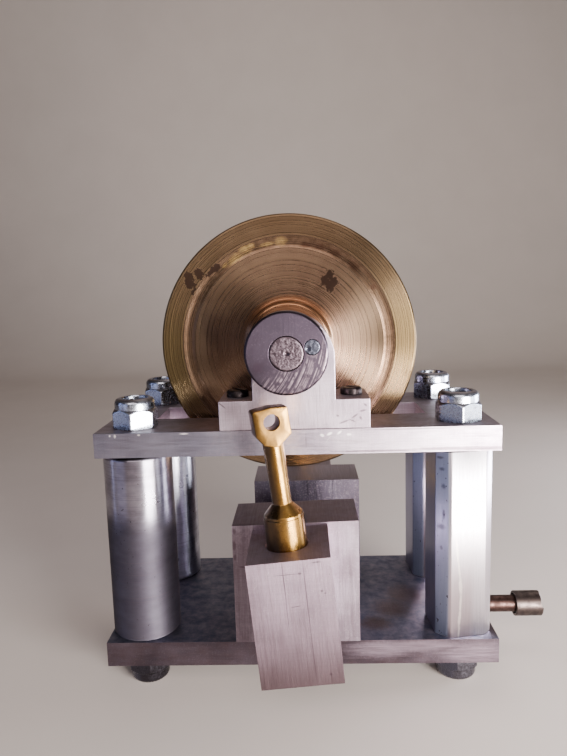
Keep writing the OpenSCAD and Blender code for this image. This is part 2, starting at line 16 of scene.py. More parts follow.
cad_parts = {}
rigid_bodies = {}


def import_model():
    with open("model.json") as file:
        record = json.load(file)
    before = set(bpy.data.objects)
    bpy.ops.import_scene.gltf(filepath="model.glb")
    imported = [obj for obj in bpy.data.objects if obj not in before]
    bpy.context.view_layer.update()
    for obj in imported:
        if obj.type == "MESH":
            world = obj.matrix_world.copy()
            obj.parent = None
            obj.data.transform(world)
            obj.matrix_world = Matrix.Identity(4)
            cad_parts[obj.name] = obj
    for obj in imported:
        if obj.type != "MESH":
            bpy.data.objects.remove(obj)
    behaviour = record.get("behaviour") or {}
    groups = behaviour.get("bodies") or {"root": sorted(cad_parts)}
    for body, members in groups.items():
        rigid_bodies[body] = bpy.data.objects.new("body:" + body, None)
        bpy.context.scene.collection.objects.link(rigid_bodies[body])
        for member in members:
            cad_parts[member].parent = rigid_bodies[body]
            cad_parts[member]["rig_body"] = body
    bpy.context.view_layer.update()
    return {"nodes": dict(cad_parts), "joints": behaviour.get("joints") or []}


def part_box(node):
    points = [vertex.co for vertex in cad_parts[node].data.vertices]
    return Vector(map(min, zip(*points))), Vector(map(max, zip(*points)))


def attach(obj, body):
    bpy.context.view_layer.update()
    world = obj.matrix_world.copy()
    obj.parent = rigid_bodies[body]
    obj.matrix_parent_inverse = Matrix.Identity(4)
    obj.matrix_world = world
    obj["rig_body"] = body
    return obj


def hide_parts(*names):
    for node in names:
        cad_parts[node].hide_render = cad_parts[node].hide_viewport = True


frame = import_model()
nodes = frame["nodes"]
joints = {joint["name"]: joint for joint in frame["joints"]}

MM = 0.001
TURN = 2 * math.pi
SIDES = ("front", "rear")

# Sizes in millimetres that the node boxes don't give
NUT_ACROSS_FLATS = 13.0
NUT_HEX_H = 6.2
NUT_H = 9.6
NUT_SHOULDER = 1.2
NUT_COLLAR_R = 6.35
NUT_COLLAR_WALL = 1.0
NUT_ROLL_R = 1.7
STUD_R = 4.0
THREAD_PITCH = 1.25
THREAD_DEPTH = 0.55
POST_CHAMFER = 0.9
POST_BORE_R = 4.25
WHEEL_T = 13.0
WHEEL_BORE_R = 5.1
BOSS_R = 14.7
BOSS_CHAMFER = 1.2
GROOVE_OUTER_R = 35.7
GROOVE_W = 3.7
GROOVE_DEPTH = 0.22
SHAFT_R = 5.1
PIN_R = 2.25
PISTON_R = 5.9
PISTON_L = 41.7
PISTON_STEP = 0.2
PISTON_STEP_L = 0.8
PISTON_CONE_L = 3.1
ROD_R = 2.8
ROD_TOP_R = 3.05
ROD_BEND = math.radians(1.7)
EYE_H = 69.7
EYE_T = 6.4
EYE_HOLE_R = 2.3
EYE_TURN = math.radians(15)
BORE_OFFSET = 0.5
BORE_FLOOR = -14.5
PIVOT_FLATS = 8.0
PIVOT_STUD_R = 2.5
SPRING_WIRE_R = 0.4
SPRING_TURNS = 3.5
SCREW_HEAD_R = 3.5
SCREW_HEAD_H = 2.2
SCREW_SLOT_DEPTH = 1.1
PIPE_BORE_R = 2.0
SLEEVE_BORE_R = 3.5
SLEEVE_TEAR = 1.4

# Flats as (direction in degrees, distance from the middle)
BAR_FLATS = [(9, 8.4), (99, 9.7), (183, 8.8), (231, 10.8), (279, 9.5)]
EYE_FLATS = [(1, 5.15), (181, 5.1), (84, 4.15), (96, 4.1), (128, 5.75), (50, 6.1), (-52, 6.4),
             (-106, 6.9), (215, 6.1)]

# Directions of a hexagon's flats, in degrees
HEX_DIRECTIONS = range(30, 390, 60)

# The photo's view: place in millimetres, angles in degrees
CAMERA_PLACE = (-8.27, -227.04, 130.25)
CAMERA_HEADING = -1.941
CAMERA_PITCH = 8.174
CAMERA_ROLL = -1.685
CAMERA_LENS = 31.2


# Numbers and outlines

def box_mm(name):
    """Lowest and highest corner of a node, in millimetres."""
    low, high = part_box(name)
    return np.array(low) / MM, np.array(high) / MM


def middle_mm(name):
    """Middle of a node's box, in millimetres."""
    low, high = box_mm(name)
    return (low + high) / 2


def rounded(points, radius, closed=True, steps=4):
    """Rounds the corners of an outline.

    Each corner is left radius before it and met again radius behind it, or a third of the shorter
    side if that is less, with a parabola between: (1-t)^2 a + 2t(1-t) corner + t^2 b.
    A further point on each side keeps the flat beyond it flat in smooth shading.
    """
    points = np.asarray(points, float)
    count = len(points)
    t = np.linspace(0, 1, steps)[:, None]
    out = []
    for i, corner in enumerate(points):
        if not closed and i in (0, count - 1):
            out.append(corner[None])
            continue
        before = points[i - 1] - corner
        after = points[(i + 1) % count] - corner
        reach = min(radius, np.linalg.norm(before) / 3, np.linalg.norm(after) / 3)
        a = corner + before / np.linalg.norm(before) * reach
        b = corner + after / np.linalg.norm(after) * reach
        out.append((a + 0.3 * (a - corner))[None])
        out.append((1 - t) ** 2 * a + 2 * t * (1 - t) * corner + t ** 2 * b)
        out.append((b + 0.3 * (b - corner))[None])
    return np.concatenate(out)


def flats_radius(angles, flats, round_r, power=90):
    """Radius of a bar of radius round_r with flats, at the given angles.

    flats lists (direction in degrees, distance) of each flat. The radius is the inverse of the power
    norm of 1/round_r and cos(angle - direction)/distance, which rounds every edge a little.
    """
    total = (1 / round_r) ** power * np.ones_like(angles)
    for direction, distance in flats:
        total = total + np.clip(np.cos(angles - math.radians(direction)) / distance, 0, None) ** power
    return total ** (-1 / power)


def ripple(x, y, size, seed):
    """Smooth random height from -1 to 1: the mean of waves about size long in random directions."""
    draw = np.random.default_rng(seed)
    total = np.zeros(np.broadcast(x, y).shape)
    waves = 9
    for _ in range(waves):
        heading, phase = draw.uniform(0, TURN, 2)
        length = size * draw.uniform(0.6, 1.7)
        total = total + np.sin(TURN * (x * math.cos(heading) + y * math.sin(heading)) / length + phase)
    return total / waves


# Grids of points, in millimetres

def around(r, h, a):
    """Points at radius r, height h and angle a round +Z: (r cos a, r sin a, h)."""
    return np.stack(np.broadcast_arrays(r * np.cos(a), r * np.sin(a), h), axis=-1)


def revolve(profile, steps=128):
    """Points of a profile of (radius, height) turned round +Z."""
    profile = np.asarray(profile, float)
    return around(profile[:, :1], profile[:, 1:], np.linspace(0, TURN, steps, endpoint=False))


def lay(points, axis, place):
    """Turns points drawn round +Z to an axis, and moves them to a place.

    axis "X" sends +Z to +X, "Y" sends it to -Y, so that a piece's near end faces the front.
    """
    x, y, z = np.moveaxis(points, -1, 0)
    if axis == "X":
        points = np.stack([z, x, y], axis=-1)
    elif axis == "Y":
        points = np.stack([x, -z, y], axis=-1)
    return points + np.asarray(place, float)


def mirrored(points, yes):
    """The rear half of the engine is the front half seen in a mirror: y becomes -y."""
    return points * np.array([1.0, -1.0 if yes else 1.0, 1.0])


def to_mesh(name, points, wrap):
    """A mesh of the quads between neighbours of a grid of points, wrapped round or open each way.

    Doubles at poles and seams are merged, and faces are turned outwards.
    """
    rows, columns = points.shape[:2]
    i = np.arange(rows if wrap[0] else rows - 1)[:, None]
    j = np.arange(columns if wrap[1] else columns - 1)[None]
    i2, j2 = (i + 1) % rows, (j + 1) % columns
    quads = np.stack([i * columns + j, i * columns + j2, i2 * columns + j2, i2 * columns + j], axis=-1)
    mesh = bpy.data.meshes.new(name)
    mesh.from_pydata((points.reshape(-1, 3) * MM).tolist(), [], quads.reshape(-1, 4).tolist())
    work = bmesh.new()
    work.from_mesh(mesh)
    bmesh.ops.remove_doubles(work, verts=work.verts, dist=2e-6)
    bmesh.ops.dissolve_degenerate(work, edges=work.edges, dist=1e-7)
    bmesh.ops.recalc_face_normals(work, faces=work.faces)
    work.to_mesh(mesh)
    work.free()
    return mesh


# Pieces

def dress(name, mesh, node_name, material, sharp=32):
    """Makes the object of a mesh, which rides and is seen in place of its node."""
    mesh.shade_smooth()
    mesh.set_sharp_from_angle(angle=math.radians(sharp))
    mesh.materials.clear()
    mesh.materials.append(material)
    piece = bpy.data.objects.new(name, mesh)
    bpy.context.scene.collection.objects.link(piece)
    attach(piece, nodes[node_name]["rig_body"])
    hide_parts(node_name)
    return piece


def join(meshes):
    """Adds the faces of the other meshes to the first."""
    work = bmesh.new()
    for mesh in meshes:
        work.from_mesh(mesh)
    work.to_mesh(meshes[0])
    work.free()
    for mesh in meshes[1:]:
        bpy.data.meshes.remove(mesh)
    return meshes[0]


def shaped(node_name, points, material, wrap=(True, True), sharp=32):
    """A piece from a grid of points."""
    name = "shaped_" + node_name
    return dress(name, to_mesh(name, points, wrap), node_name, material, sharp)


def edged(node_name, material, bevel=0.3, sharp=32):
    """A copy of a node with its loose triangles merged and its edges broken by a small bevel."""
    name = "edged_" + node_name
    mesh = nodes[node_name].data.copy()
    mesh.name = name
    work = bmesh.new()
    work.from_mesh(mesh)
    bmesh.ops.remove_doubles(work, verts=work.verts, dist=2e-6)
    bmesh.ops.dissolve_limit(work, angle_limit=math.radians(0.5), verts=work.verts, edges=work.edges,
                             use_dissolve_boundaries=False)
    work.to_mesh(mesh)
    work.free()
    piece = dress(name, mesh, node_name, material, sharp)
    modifier = piece.modifiers.new("broken edges", "BEVEL")
    modifier.width = bevel * MM
    modifier.segments = 3
    modifier.limit_method = "ANGLE"
    modifier.angle_limit = math.radians(40)
    modifier.harden_normals = True
    return piece


# Materials

# Height of the top plate's underside, where the posts end in its shade
UNDER_PLATE = box_mm("top_plate")[0][2]

# Settings that turn a direction of the piece to one of the scene, as tangents need
TO_WORLD = {"vector_type": "VECTOR", "convert_from": "OBJECT", "convert_to": "WORLD"}


def linear(colour):
    """Linear colour of an sRGB hex string such as "#c0ffee"."""
    values = np.array([int(colour[i:i + 2], 16) for i in (1, 3, 5)]) / 255
    lit = np.where(values <= 0.04045, values / 12.92, ((values + 0.055) / 1.055) ** 2.4)
    return (*lit.tolist(), 1.0)


class Finish:
    """A material in the making: one tone that coats are laid over, a roughness, and bumps.

    A mask is a value from 0 to 1 that says where on the piece something shows.
    """

    def __init__(self, name, tone, metallic=1.0, centre=None, turn=0.0, **sockets):
        self.material = bpy.data.materials.new(name)
        self.material.use_nodes = True
        self.tree = self.material.node_tree
        self.shader = self.tree.nodes["Principled BSDF"]
        self.shader.inputs["Metallic"].default_value = metallic
        for key, value in sockets.items():
            self.shader.inputs[key.replace("_", " ")].default_value = value
        self.place = self.add("TexCoord", output="Object")
        if centre is not None:
            self.place = self.add("Mapping", {
                "Vector": self.place, "Location": [c * MM for c in centre], "Rotation": (0, turn, 0)},
                vector_type="TEXTURE")
        self.tone = linear(tone)
        self.normal = None

    def add(self, kind, inputs=(), output=0, **settings):
        """Adds a shader node with its settings and links, and returns one of its outputs.

        The inputs come in order or by name: an output is linked to the socket, a value is set.
        """
        added = self.tree.nodes.new("ShaderNode" + kind)
        for key, value in settings.items():
            setattr(added, key, value)
        for key, value in inputs.items() if isinstance(inputs, dict) else enumerate(inputs):
            if isinstance(value, bpy.types.NodeSocket):
                self.tree.links.new(value, added.inputs[key])
            else:
                added.inputs[key].default_value = value
        return added.outputs[output]

    def link(self, socket, value):
        """Links an output to a socket of the shader, in place of what was there."""
        self.tree.links.new(value, self.shader.inputs[socket])

    def along(self, axis):
        """The place along an axis, in metres from the origin or from the finish's own centre."""
        return self.add("SeparateXYZ", [self.place], axis)

    def facing(self, axis):
        """How far the surface faces along an axis, from -1 to 1."""
        return self.add("SeparateXYZ", [self.add("TexCoord", output="Normal")], axis)

    def grain(self, size, detail=3.0, rough=0.55, warp=0.0, turn=0.0):
        """Noise from 0 to 1 with features size millimetres big, one or (x, y, z), turned about Y."""
        steps = self.add("Mapping", {
            "Vector": self.place, "Rotation": (0, turn, 0),
            "Scale": (np.broadcast_to(size, 3) * MM).tolist()}, vector_type="TEXTURE")
        return self.add("TexNoise", {
            "Vector": steps, "Scale": 1.0, "Detail": detail, "Roughness": rough, "Distortion": warp})

    def rings(self, radius, spacing, detail=2.0):
        """Turning marks: noise from 0 to 1 along the radius, spacing millimetres apart."""
        return self.add("TexNoise", {"W": radius, "Scale": 1 / (spacing * MM), "Detail": detail},
                        noise_dimensions="1D")

    def from_axis(self, axis, centre):
        """Distance from a turning axis through centre (millimetres), and the direction across its marks.

        The offset is the place less the centre with the part along the axis taken out. The marks run
        along axis x offset, so the direction across them in the surface is that, crossed with the normal.
        """
        along = {"Y": (0, 1, 0), "Z": (0, 0, 1)}[axis]
        moved = self.add("VectorMath", (self.place, [c * MM for c in centre]), operation="SUBTRACT")
        offset = self.add("VectorMath", (moved, [1 - a for a in along]), operation="MULTIPLY")
        radius = self.add("VectorMath", [offset], "Value", operation="LENGTH")
        marks = self.add("VectorMath", (along, offset), operation="CROSS_PRODUCT")
        world = self.add("VectorTransform", [marks], **TO_WORLD)
        normal = self.add("NewGeometry", output="Normal")
        return radius, self.add("VectorMath", (world, normal), operation="CROSS_PRODUCT")

    def inside(self, *masks):
        """The product of masks and shares."""
        total = masks[0]
        for mask in masks[1:]:
            total = self.add("Math", (total, mask), operation="MULTIPLY")
        return total

    def where(self, value, low, high, *within, least=0.0, most=1.0):
        """Least where a value is at low, most where it is at high, smooth between, inside other masks."""
        step = self.add("MapRange", (value, low, high, least, most), interpolation_type="SMOOTHSTEP")
        return self.inside(step, *within)

    def spots(self, marks, ragged=0.0, soft=0.3):
        """1 inside any of the ellipsoids (centre, half sizes, turn about Y), with an edge frayed by noise.

        Each reach is the length of the place counted from the centre in half sizes, 1 at the edge.
        """
        fray = self.add("Math", (self.grain(1.2), ragged, -0.5 * ragged), operation="MULTIPLY_ADD")
        covered = None
        for centre, half, turn in marks:
            steps = self.add("Mapping", {
                "Vector": self.place, "Location": [c * MM for c in centre],
                "Rotation": (0, math.radians(turn), 0), "Scale": [h * MM for h in half]},
                vector_type="TEXTURE")
            reach = self.add("VectorMath", [steps], "Value", operation="LENGTH")
            mark = self.where(self.add("Math", (reach, fray), operation="ADD"), 1 + soft, 1 - soft)
            covered = self.add("Math", (covered, mark), operation="MAXIMUM") if covered else mark
        return covered

    def coat(self, colour, *masks):
        """Lays a colour over the tone, as far as the product of the masks and shares says."""
        over = linear(colour) if isinstance(colour, str) else colour
        self.tone = self.add("Mix", {0: self.inside(*masks), 6: self.tone, 7: over}, 2, data_type="RGBA")
        self.link("Base Color", self.tone)

    def roughen(self, mask, least, most, overlay=None, added=0.0):
        """Roughness from least to most as a mask says, and so much more under an overlay mask."""
        rough = self.add("Math", (mask, most - least, least), operation="MULTIPLY_ADD")
        if overlay:
            rough = self.add("Math", (overlay, added, rough), operation="MULTIPLY_ADD")
        self.link("Roughness", rough)

    def bump(self, height, depth, strength=1.0):
        """Adds a bump whose full height is depth millimetres."""
        inputs = {"Height": height, "Distance": depth * MM, "Strength": strength}
        if self.normal:
            inputs["Normal"] = self.normal
        self.normal = self.add("Bump", inputs)
        self.link("Normal", self.normal)


def block_aluminium(name, lines, light="#cdbfcd", dark="#a899a8", roughness=0.37, overlay="#6b6064", grime=0.0,
                    line="#786b76", pitted=0.0, tinted_patches=(), patch_colour="#3a2d32", scores=(), bright=(), chips=(),
                    downward_shade=None, **placed):
    """Sawn and rubbed aluminium bar: fine lines, scattered pits and scratches, and a grey coat on top faces
    that is partly dust and partly painted shade and reflection.

    The lines scatter light across them, so a face glows softly where the window's light falls. They
    are really about 0.1 mm apart, and are drawn 0.4 mm apart so that they show.
    Tinted patches lay the patch colour, for stains, paler patches and painted shade; bright patches are of
    clean metal; scores are dark cuts and chips light ones.
    The downward shade gives the heights between which a brown tone comes in downwards, and its share: a
    painted shade.
    """
    f = Finish(name, light, **placed)
    fine = f.grain(lines, 3, 0.65)
    speckle = f.grain(0.5, 2)
    slashes = f.where(f.grain((0.22, 3, 5), 1, turn=0.7), 0.73, 0.79)
    nicks = f.where(f.grain((0.25, 3, 2.5), 1, turn=-0.9), 0.75, 0.82)
    pits = f.where(speckle, 0.68, 0.74, f.where(f.grain(7, 2), 0.5, 0.66))
    f.coat(dark, f.where(f.grain(14, 3, 0.5), 0.35, 0.65))
    f.coat(line, f.where(fine, 0.35, 0.7), 0.36)
    f.coat(line, f.where(f.grain(lines[::-1], 2, 0.6), 0.42, 0.72), 0.18)
    f.coat("#efe6ee", f.where(speckle, 0.5, 0.75), 0.05 if grime else 0.16)
    f.coat("#e8dfe6", f.add("Math", (slashes, nicks), operation="MAXIMUM"), 0.15 if grime else 0.6)
    if grime:
        f.coat("#4d3c3c", f.where(f.grain((5, 5, 3), 5, 0.65), 0.3, 0.75), grime)
    f.coat("#4c4047", pits, 0.75 + 0.25 * pitted)
    mottle = f.where(f.grain(3.5, 5, 0.65), 0.3, 0.75, most=0.6)
    dust_and_shade_tone = f.add("Mix", {0: mottle, 6: linear(overlay), 7: linear("#8c8490")}, 2, data_type="RGBA")
    # The coat on top faces is partly dust and partly painted shade; its bluish tone on the deck is a painted
    # reflection.
    upward = f.add("Math", (fine, 0.15, f.facing("Z")), operation="MULTIPLY_ADD")
    dust_and_shade = f.where(upward, 0.7, 1.0, most=0.92)
    if bright:
        rubbed = f.spots(bright, 1.2, 0.6)
        dust_and_shade = f.inside(dust_and_shade, f.add("Math", (1.0, rubbed), operation="SUBTRACT"))
    f.coat(dust_and_shade_tone, dust_and_shade)
    # Painted shade: darker and browner downwards.
    if downward_shade:
        f.coat("#5a4a4c", f.where(f.along("Z"), downward_shade[0] * MM, downward_shade[1] * MM), downward_shade[2])
    if tinted_patches:
        f.coat(patch_colour, f.spots(tinted_patches, 0.6, 0.6), 0.7)
    if chips:
        f.coat("#fdf8fb", f.spots(chips, 0.8, 0.5), 0.9)
    if scores:
        cut = f.spots(scores, 0.7, 0.5)
        f.coat("#4b3c45", cut, 0.7)
        f.bump(cut, 0.05, -0.6)
    f.roughen(f.where(fine, 0.25, 0.75), roughness - 0.08, roughness + 0.1, dust_and_shade, 0.2)
    f.bump(fine, 0.02, 0.5)
    f.bump(pits, 0.08, -0.6)
    f.bump(slashes, 0.03, -0.5)
    return f.material


def post_aluminium(name, centre, shaded_below_z, light, dark):
    """Turned aluminium: marks round the bar draw each light out to a tall streak.

    Below the height it is given, the bar is duller and is painted darker and browner: a painted shade. Its
    top end is painted dark: the painted shadow under the plate. The turning marks, really about 0.15 mm
    apart, are drawn 0.45 mm apart so that they show as fine level lines.
    """
    f = Finish(name, light, Anisotropic=0.85)
    height = f.along("Z")
    marks = f.rings(height, 0.45, 3)
    cloud = f.grain((9, 9, 5), 4)
    waved = f.add("Math", (cloud, 2 * MM, height), operation="MULTIPLY_ADD")
    # Lower down the bar is rougher and painted darker: painted shade.
    rough_and_shaded = f.where(waved, (shaded_below_z + 4) * MM, (shaded_below_z - 9) * MM)
    f.coat(dark, f.where(cloud, 0.3, 0.75))
    f.coat("#4f4a56", rough_and_shaded, 0.8)
    f.coat("#6b6068", f.where(marks, 0.5, 0.8), 0.4)
    f.coat("#3c343a", f.where(f.grain((0.6, 0.6, 0.9), 2), 0.69, 0.75))
    # Painted shadow: the top end is dark under the plate.
    f.coat("#1c181a", f.where(height, (UNDER_PLATE - POST_CHAMFER) * MM, (UNDER_PLATE - 0.3) * MM))
    f.link("Tangent", f.from_axis("Z", centre)[1])
    f.roughen(f.where(cloud, 0.2, 0.8), 0.26, 0.34, rough_and_shaded, 0.55)
    f.bump(marks, 0.02, 0.6)
    return f.material


def squared_aluminium(name, trickle, dents):
    """Bar with flats: drawn lines up and down, a strip left rough by the saw, and small pits.

    trickle is a bright wavy line on the front and dents are dark spots on the rough strip. The drawn
    lines, really about 0.1 mm wide, are 0.35 mm wide here so that they show.
    """
    f = Finish(name, "#dcd6de")
    height = f.along("Z")
    rightward = f.facing("X")
    lines = f.grain((0.35, 0.35, 16), 4)
    strip = f.where(rightward, -0.85, -0.75, f.where(rightward, -0.4, -0.5))
    rough_strip = f.where(f.grain((0.9, 0.9, 7), 4, 0.65), 0.25, 0.6, strip, least=0.75)
    pitted = f.add("Math", (strip, 0.9, 0.1), operation="MULTIPLY_ADD")
    pits = f.where(f.grain((0.9, 0.9, 1.3), 2), 0.67, 0.72, pitted)
    brown_foot = f.where(height, 50 * MM, 28 * MM, f.where(f.along("X"), 44 * MM, 41 * MM))
    f.coat("#aca2ac", f.where(lines, 0.3, 0.75), 0.5)
    f.coat("#b19a9e", brown_foot, 0.5)
    # Faces to the left are painted darker and bluer: painted shade and a painted cool reflection.
    f.coat("#7f8cab", f.where(rightward, -0.3, -0.6), 0.75)
    f.coat("#747e96", rough_strip, 0.7)
    f.coat("#2f2a33", f.spots(dents, 1.6, 0.6), 0.6)
    f.coat("#fff6f2", f.spots(trickle, 0.8, 0.4), 0.8)
    # Painted shadow: the top end is dark under the plate.
    f.coat("#1c181a", f.where(height, (UNDER_PLATE - 0.6) * MM, (UNDER_PLATE - 0.2) * MM))
    f.coat("#2f2a33", pits)
    f.roughen(f.where(lines, 0.2, 0.8), 0.30, 0.42, rough_strip, 0.15)
    f.bump(lines, 0.02, 0.5)
    f.bump(rough_strip, 0.06, 0.6)
    f.bump(pits, 0.2, -0.7)
    return f.material


def zinc(name, light="#b9c1d0", dark="#6f6c77"):
    """Bright zinc plate on steel: a clear bluish mirror with soft waves and a few dull specks.

    Faces to the left are painted darker, a painted shade, and faces upwards are browner. The waves and specks
    are at their real size.
    """
    f = Finish(name, light)
    small = f.grain(0.8)
    upward = f.where(f.facing("Z"), 0.35, 0.85)
    f.coat(dark, f.where(f.grain((2.6, 2.6, 2), 3, 0.6), 0.5, 0.7), 0.5)
    # Painted shade: faces to the left are darker.
    f.coat("#56586a", f.where(f.facing("X"), -0.15, -0.6), 0.55)
    f.coat("#5b4743", upward, 0.75)
    f.coat("#54525c", f.where(f.grain(0.5, 2), 0.7, 0.76))
    f.roughen(f.where(small, 0.3, 0.7), 0.2, 0.34, upward, 0.15)
    f.bump(f.grain(3), 0.05, 0.4)
    f.bump(small, 0.01, 0.3)
    return f.material


def wheel_brass(name, centre, groove, overlay, tinted_patches, gold, dull):
    """Faced brass: rings that turn each light into a wedge, under brown tarnish and dark stains.

    The groove holds a darker tarnish with clean golden patches in it. Above the boss the face is painted
    redder: a painted warm reflection. Broad dark patches on the right and the far left are painted shade. The
    facing marks, really about 0.15 mm apart, are drawn 0.5 mm apart so that they show.
    """
    f = Finish(name, "#a78b72", Anisotropic=0.8)
    radius, across_marks = f.from_axis("Y", centre)
    marks = f.rings(radius, 0.5, 4)
    coarse = f.rings(radius, 2.4, 2)
    inner, outer = groove
    in_groove = f.where(radius, (inner - 0.3) * MM, (inner + 0.3) * MM,
                        f.where(radius, (outer + 0.3) * MM, (outer - 0.3) * MM))
    warm_reflection_above_boss = f.where(radius, (BOSS_R + 2.3) * MM, (BOSS_R + 0.2) * MM,
                         f.where(f.along("Z"), 113 * MM, 121 * MM))
    stained = f.spots(tinted_patches, 2.6, 0.12)
    f.coat("#866b58", f.where(f.grain(26, 4, warp=0.3), 0.35, 0.65))
    f.coat("#5f4a3e", f.where(marks, 0.42, 0.75), 0.36)
    f.coat("#6b5245", f.where(coarse, 0.45, 0.7), 0.16)
    f.coat("#b0977a", f.where(f.rings(radius, 6.5, 1), 0.5, 0.7), 0.3)
    # Painted shade: broad dark patches over the right and far left of the face dim the highlight wedges.
    f.coat("#261e16", f.spots(overlay, 0, 0.7))
    f.coat("#665539", f.where(radius, outer * MM, (outer + 0.6) * MM), 0.5)
    # Painted warm reflection: the face is redder just above the boss.
    f.coat("#cf8c5c", warm_reflection_above_boss, 0.4)
    f.coat("#5f4a3a", f.where(f.grain(2.2, 5, 0.65), 0.3, 0.65, in_groove, least=0.2, most=0.8))
    f.coat("#5a3f33", f.spots(dull, 1.6, 0.5), 0.7)
    f.coat("#e0bd7c", in_groove, f.spots(gold, 1.6, 0.9), 0.7)
    f.coat("#4a3428", f.where(f.grain(0.7, 2), 0.7, 0.75), 0.6)
    f.coat("#241916", stained, 0.95)
    f.link("Tangent", across_marks)
    f.roughen(f.where(marks, 0.3, 0.7), 0.24, 0.34, stained, 0.3)
    f.bump(marks, 0.03, 0.6)
    f.bump(coarse, 0.03, 0.4)
    return f.material


def rod_brass(name, centre, turn):
    """Bright turned brass: a yellow mirror drawn out along the rod, with fine rings and brown marks.

    The eye's filed face is duller and browner. The rings, really about 0.15 mm apart, are drawn
    0.4 mm apart so that they show.
    """
    f = Finish(name, "#a07a3d", Anisotropic=0.7, centre=centre, turn=turn)
    height = f.along("Z")
    cloud = f.grain((3, 3, 9), 4, 0.6)
    small = f.grain(0.8)
    eye_face = f.where(f.facing("Y"), -0.93, -0.97, f.where(height, 48 * MM, 49 * MM))
    filed = f.add("Mix", {0: small, 6: linear("#5a4323"), 7: linear("#3a2b18")}, 2, data_type="RGBA")
    f.coat("#6d522b", f.where(cloud, 0.35, 0.7))
    f.coat("#644a2a", f.where(small, 0.5, 0.72), 0.5)
    # Faces to the left are painted darker: painted shade.
    f.coat("#52453a", f.where(f.facing("X"), 0.25, -0.6), 0.85)
    f.coat(filed, eye_face, 0.8)
    f.link("Tangent", f.add("VectorTransform", [(math.sin(turn), 0.0, math.cos(turn))], **TO_WORLD))
    f.roughen(f.where(cloud, 0.3, 0.7), 0.24, 0.36, eye_face, 0.1)
    f.bump(f.rings(height, 0.4, 3), 0.02, 0.5)
    f.bump(small, 0.02, 0.4)
    return f.material


def faced_steel(name, centre, arcs, tinted_patches):
    """Faced steel: coarse arcs from a centre outside the disc, lilac grey with a soft sheen.

    The arcs show on the lower right half, at their real 0.75 mm. The rings round the disc's own
    centre, really about 0.1 mm apart, are drawn 0.35 mm apart so that they show.
    """
    f = Finish(name, "#453d48", Anisotropic=0.35)
    arc_reach, across_marks = f.from_axis("Y", arcs)
    marks = f.rings(arc_reach, 0.75, 4)
    fine = f.rings(f.from_axis("Y", centre)[0], 0.35)
    cloud = f.grain(7, 4)
    steep = -1.6
    slope = f.add("Math", (f.along("Z"), steep, f.along("X")), operation="MULTIPLY_ADD")
    start = centre[0] + steep * centre[2]
    lower = f.where(slope, (start + 2) * MM, (start + 12) * MM)
    f.coat("#362f38", f.where(cloud, 0.35, 0.7))
    f.coat("#a08e98", f.where(marks, 0.42, 0.66, lower, f.where(f.grain((1.6, 1.6, 2.2), 2), 0.35, 0.6)), 0.7)
    f.coat("#493d46", f.where(fine, 0.5, 0.8), 0.25)
    f.coat("#988a96", f.where(f.grain(0.5), 0.55, 0.75), 0.1)
    f.coat("#372c36", f.spots(tinted_patches, 1.0, 0.5), 0.6)
    f.link("Tangent", across_marks)
    f.roughen(f.where(cloud, 0.2, 0.8), 0.34, 0.46)
    f.bump(marks, 0.03, 0.5)
    f.bump(fine, 0.015, 0.4)
    return f.material


def peened_steel(name, centre):
    """Steel hammered at its end: small dents that sparkle, brownish grey, with a dark ring at its edge: the
    painted shade of its edge gap.

    The dents are at their real size, about 0.7 mm.
    """
    f = Finish(name, "#4e434a")
    dents = f.grain((0.7, 0.7, 0.5), 4, warp=0.5, turn=0.8)
    radius, _ = f.from_axis("Y", centre)
    f.coat("#685c64", f.where(dents, 0.4, 0.65))
    # Painted shade: a dark ring at the edge, where the gap lies.
    f.coat("#3b2f33", f.where(radius, (SHAFT_R - 0.35) * MM, (SHAFT_R - 0.05) * MM))
    f.roughen(f.where(dents, 0.3, 0.7), 0.32, 0.48)
    f.bump(dents, 0.05, 0.7)
    return f.material


def plain_metal(name, light, dark, roughness, size=1.5, depth=0.05):
    """Drawn or rolled metal with a mottled tone and a soft uneven surface, size millimetres broad."""
    f = Finish(name, light)
    mottle = f.grain(size, 4)
    f.coat(dark, f.where(mottle, 0.35, 0.65))
    f.coat("#30282a", f.where(f.grain(0.5, 2), 0.64, 0.72), 0.5)
    f.roughen(f.where(mottle, 0.3, 0.7), roughness - 0.08, roughness + 0.08)
    f.bump(mottle, depth, 0.5)
    return f.material


def nylon(name):
    """Moulded nylon ring gone brown with oil and age, in blotches of about a millimetre."""
    f = Finish(name, "#8d7f76", metallic=0.0, Roughness=0.5)
    mottle = f.grain(1)
    f.coat("#5a4a44", mottle)
    f.bump(mottle, 0.04, 0.4)
    return f.material


# Round pieces of the frame

# How far each nut is turned, in degrees
NUT_TURNS = {
    "nut_top_front_left": 31, "nut_top_rear_left": 35, "nut_top_front_right": 29, "nut_top_rear_right": 17,
    "nut_foot_front_left": 42, "nut_foot_rear_left": 8, "nut_foot_front_right": 22,
    "nut_foot_rear_right": 44}


def post_points(node_name):
    """A tube turned from bar: a chamfered section turned round the post's axis."""
    low, high = box_mm(node_name)
    r = (high[0] - low[0]) / 2
    h = high[2] - low[2]
    profile = rounded([
        (POST_BORE_R, 0), (r - POST_CHAMFER, 0), (r, POST_CHAMFER),
        (r, h - POST_CHAMFER), (r - POST_CHAMFER, h), (POST_BORE_R, h)], 0.3)
    x, y, _ = middle_mm(node_name)
    return lay(revolve(profile, 160), "Z", (x, y, low[2]))


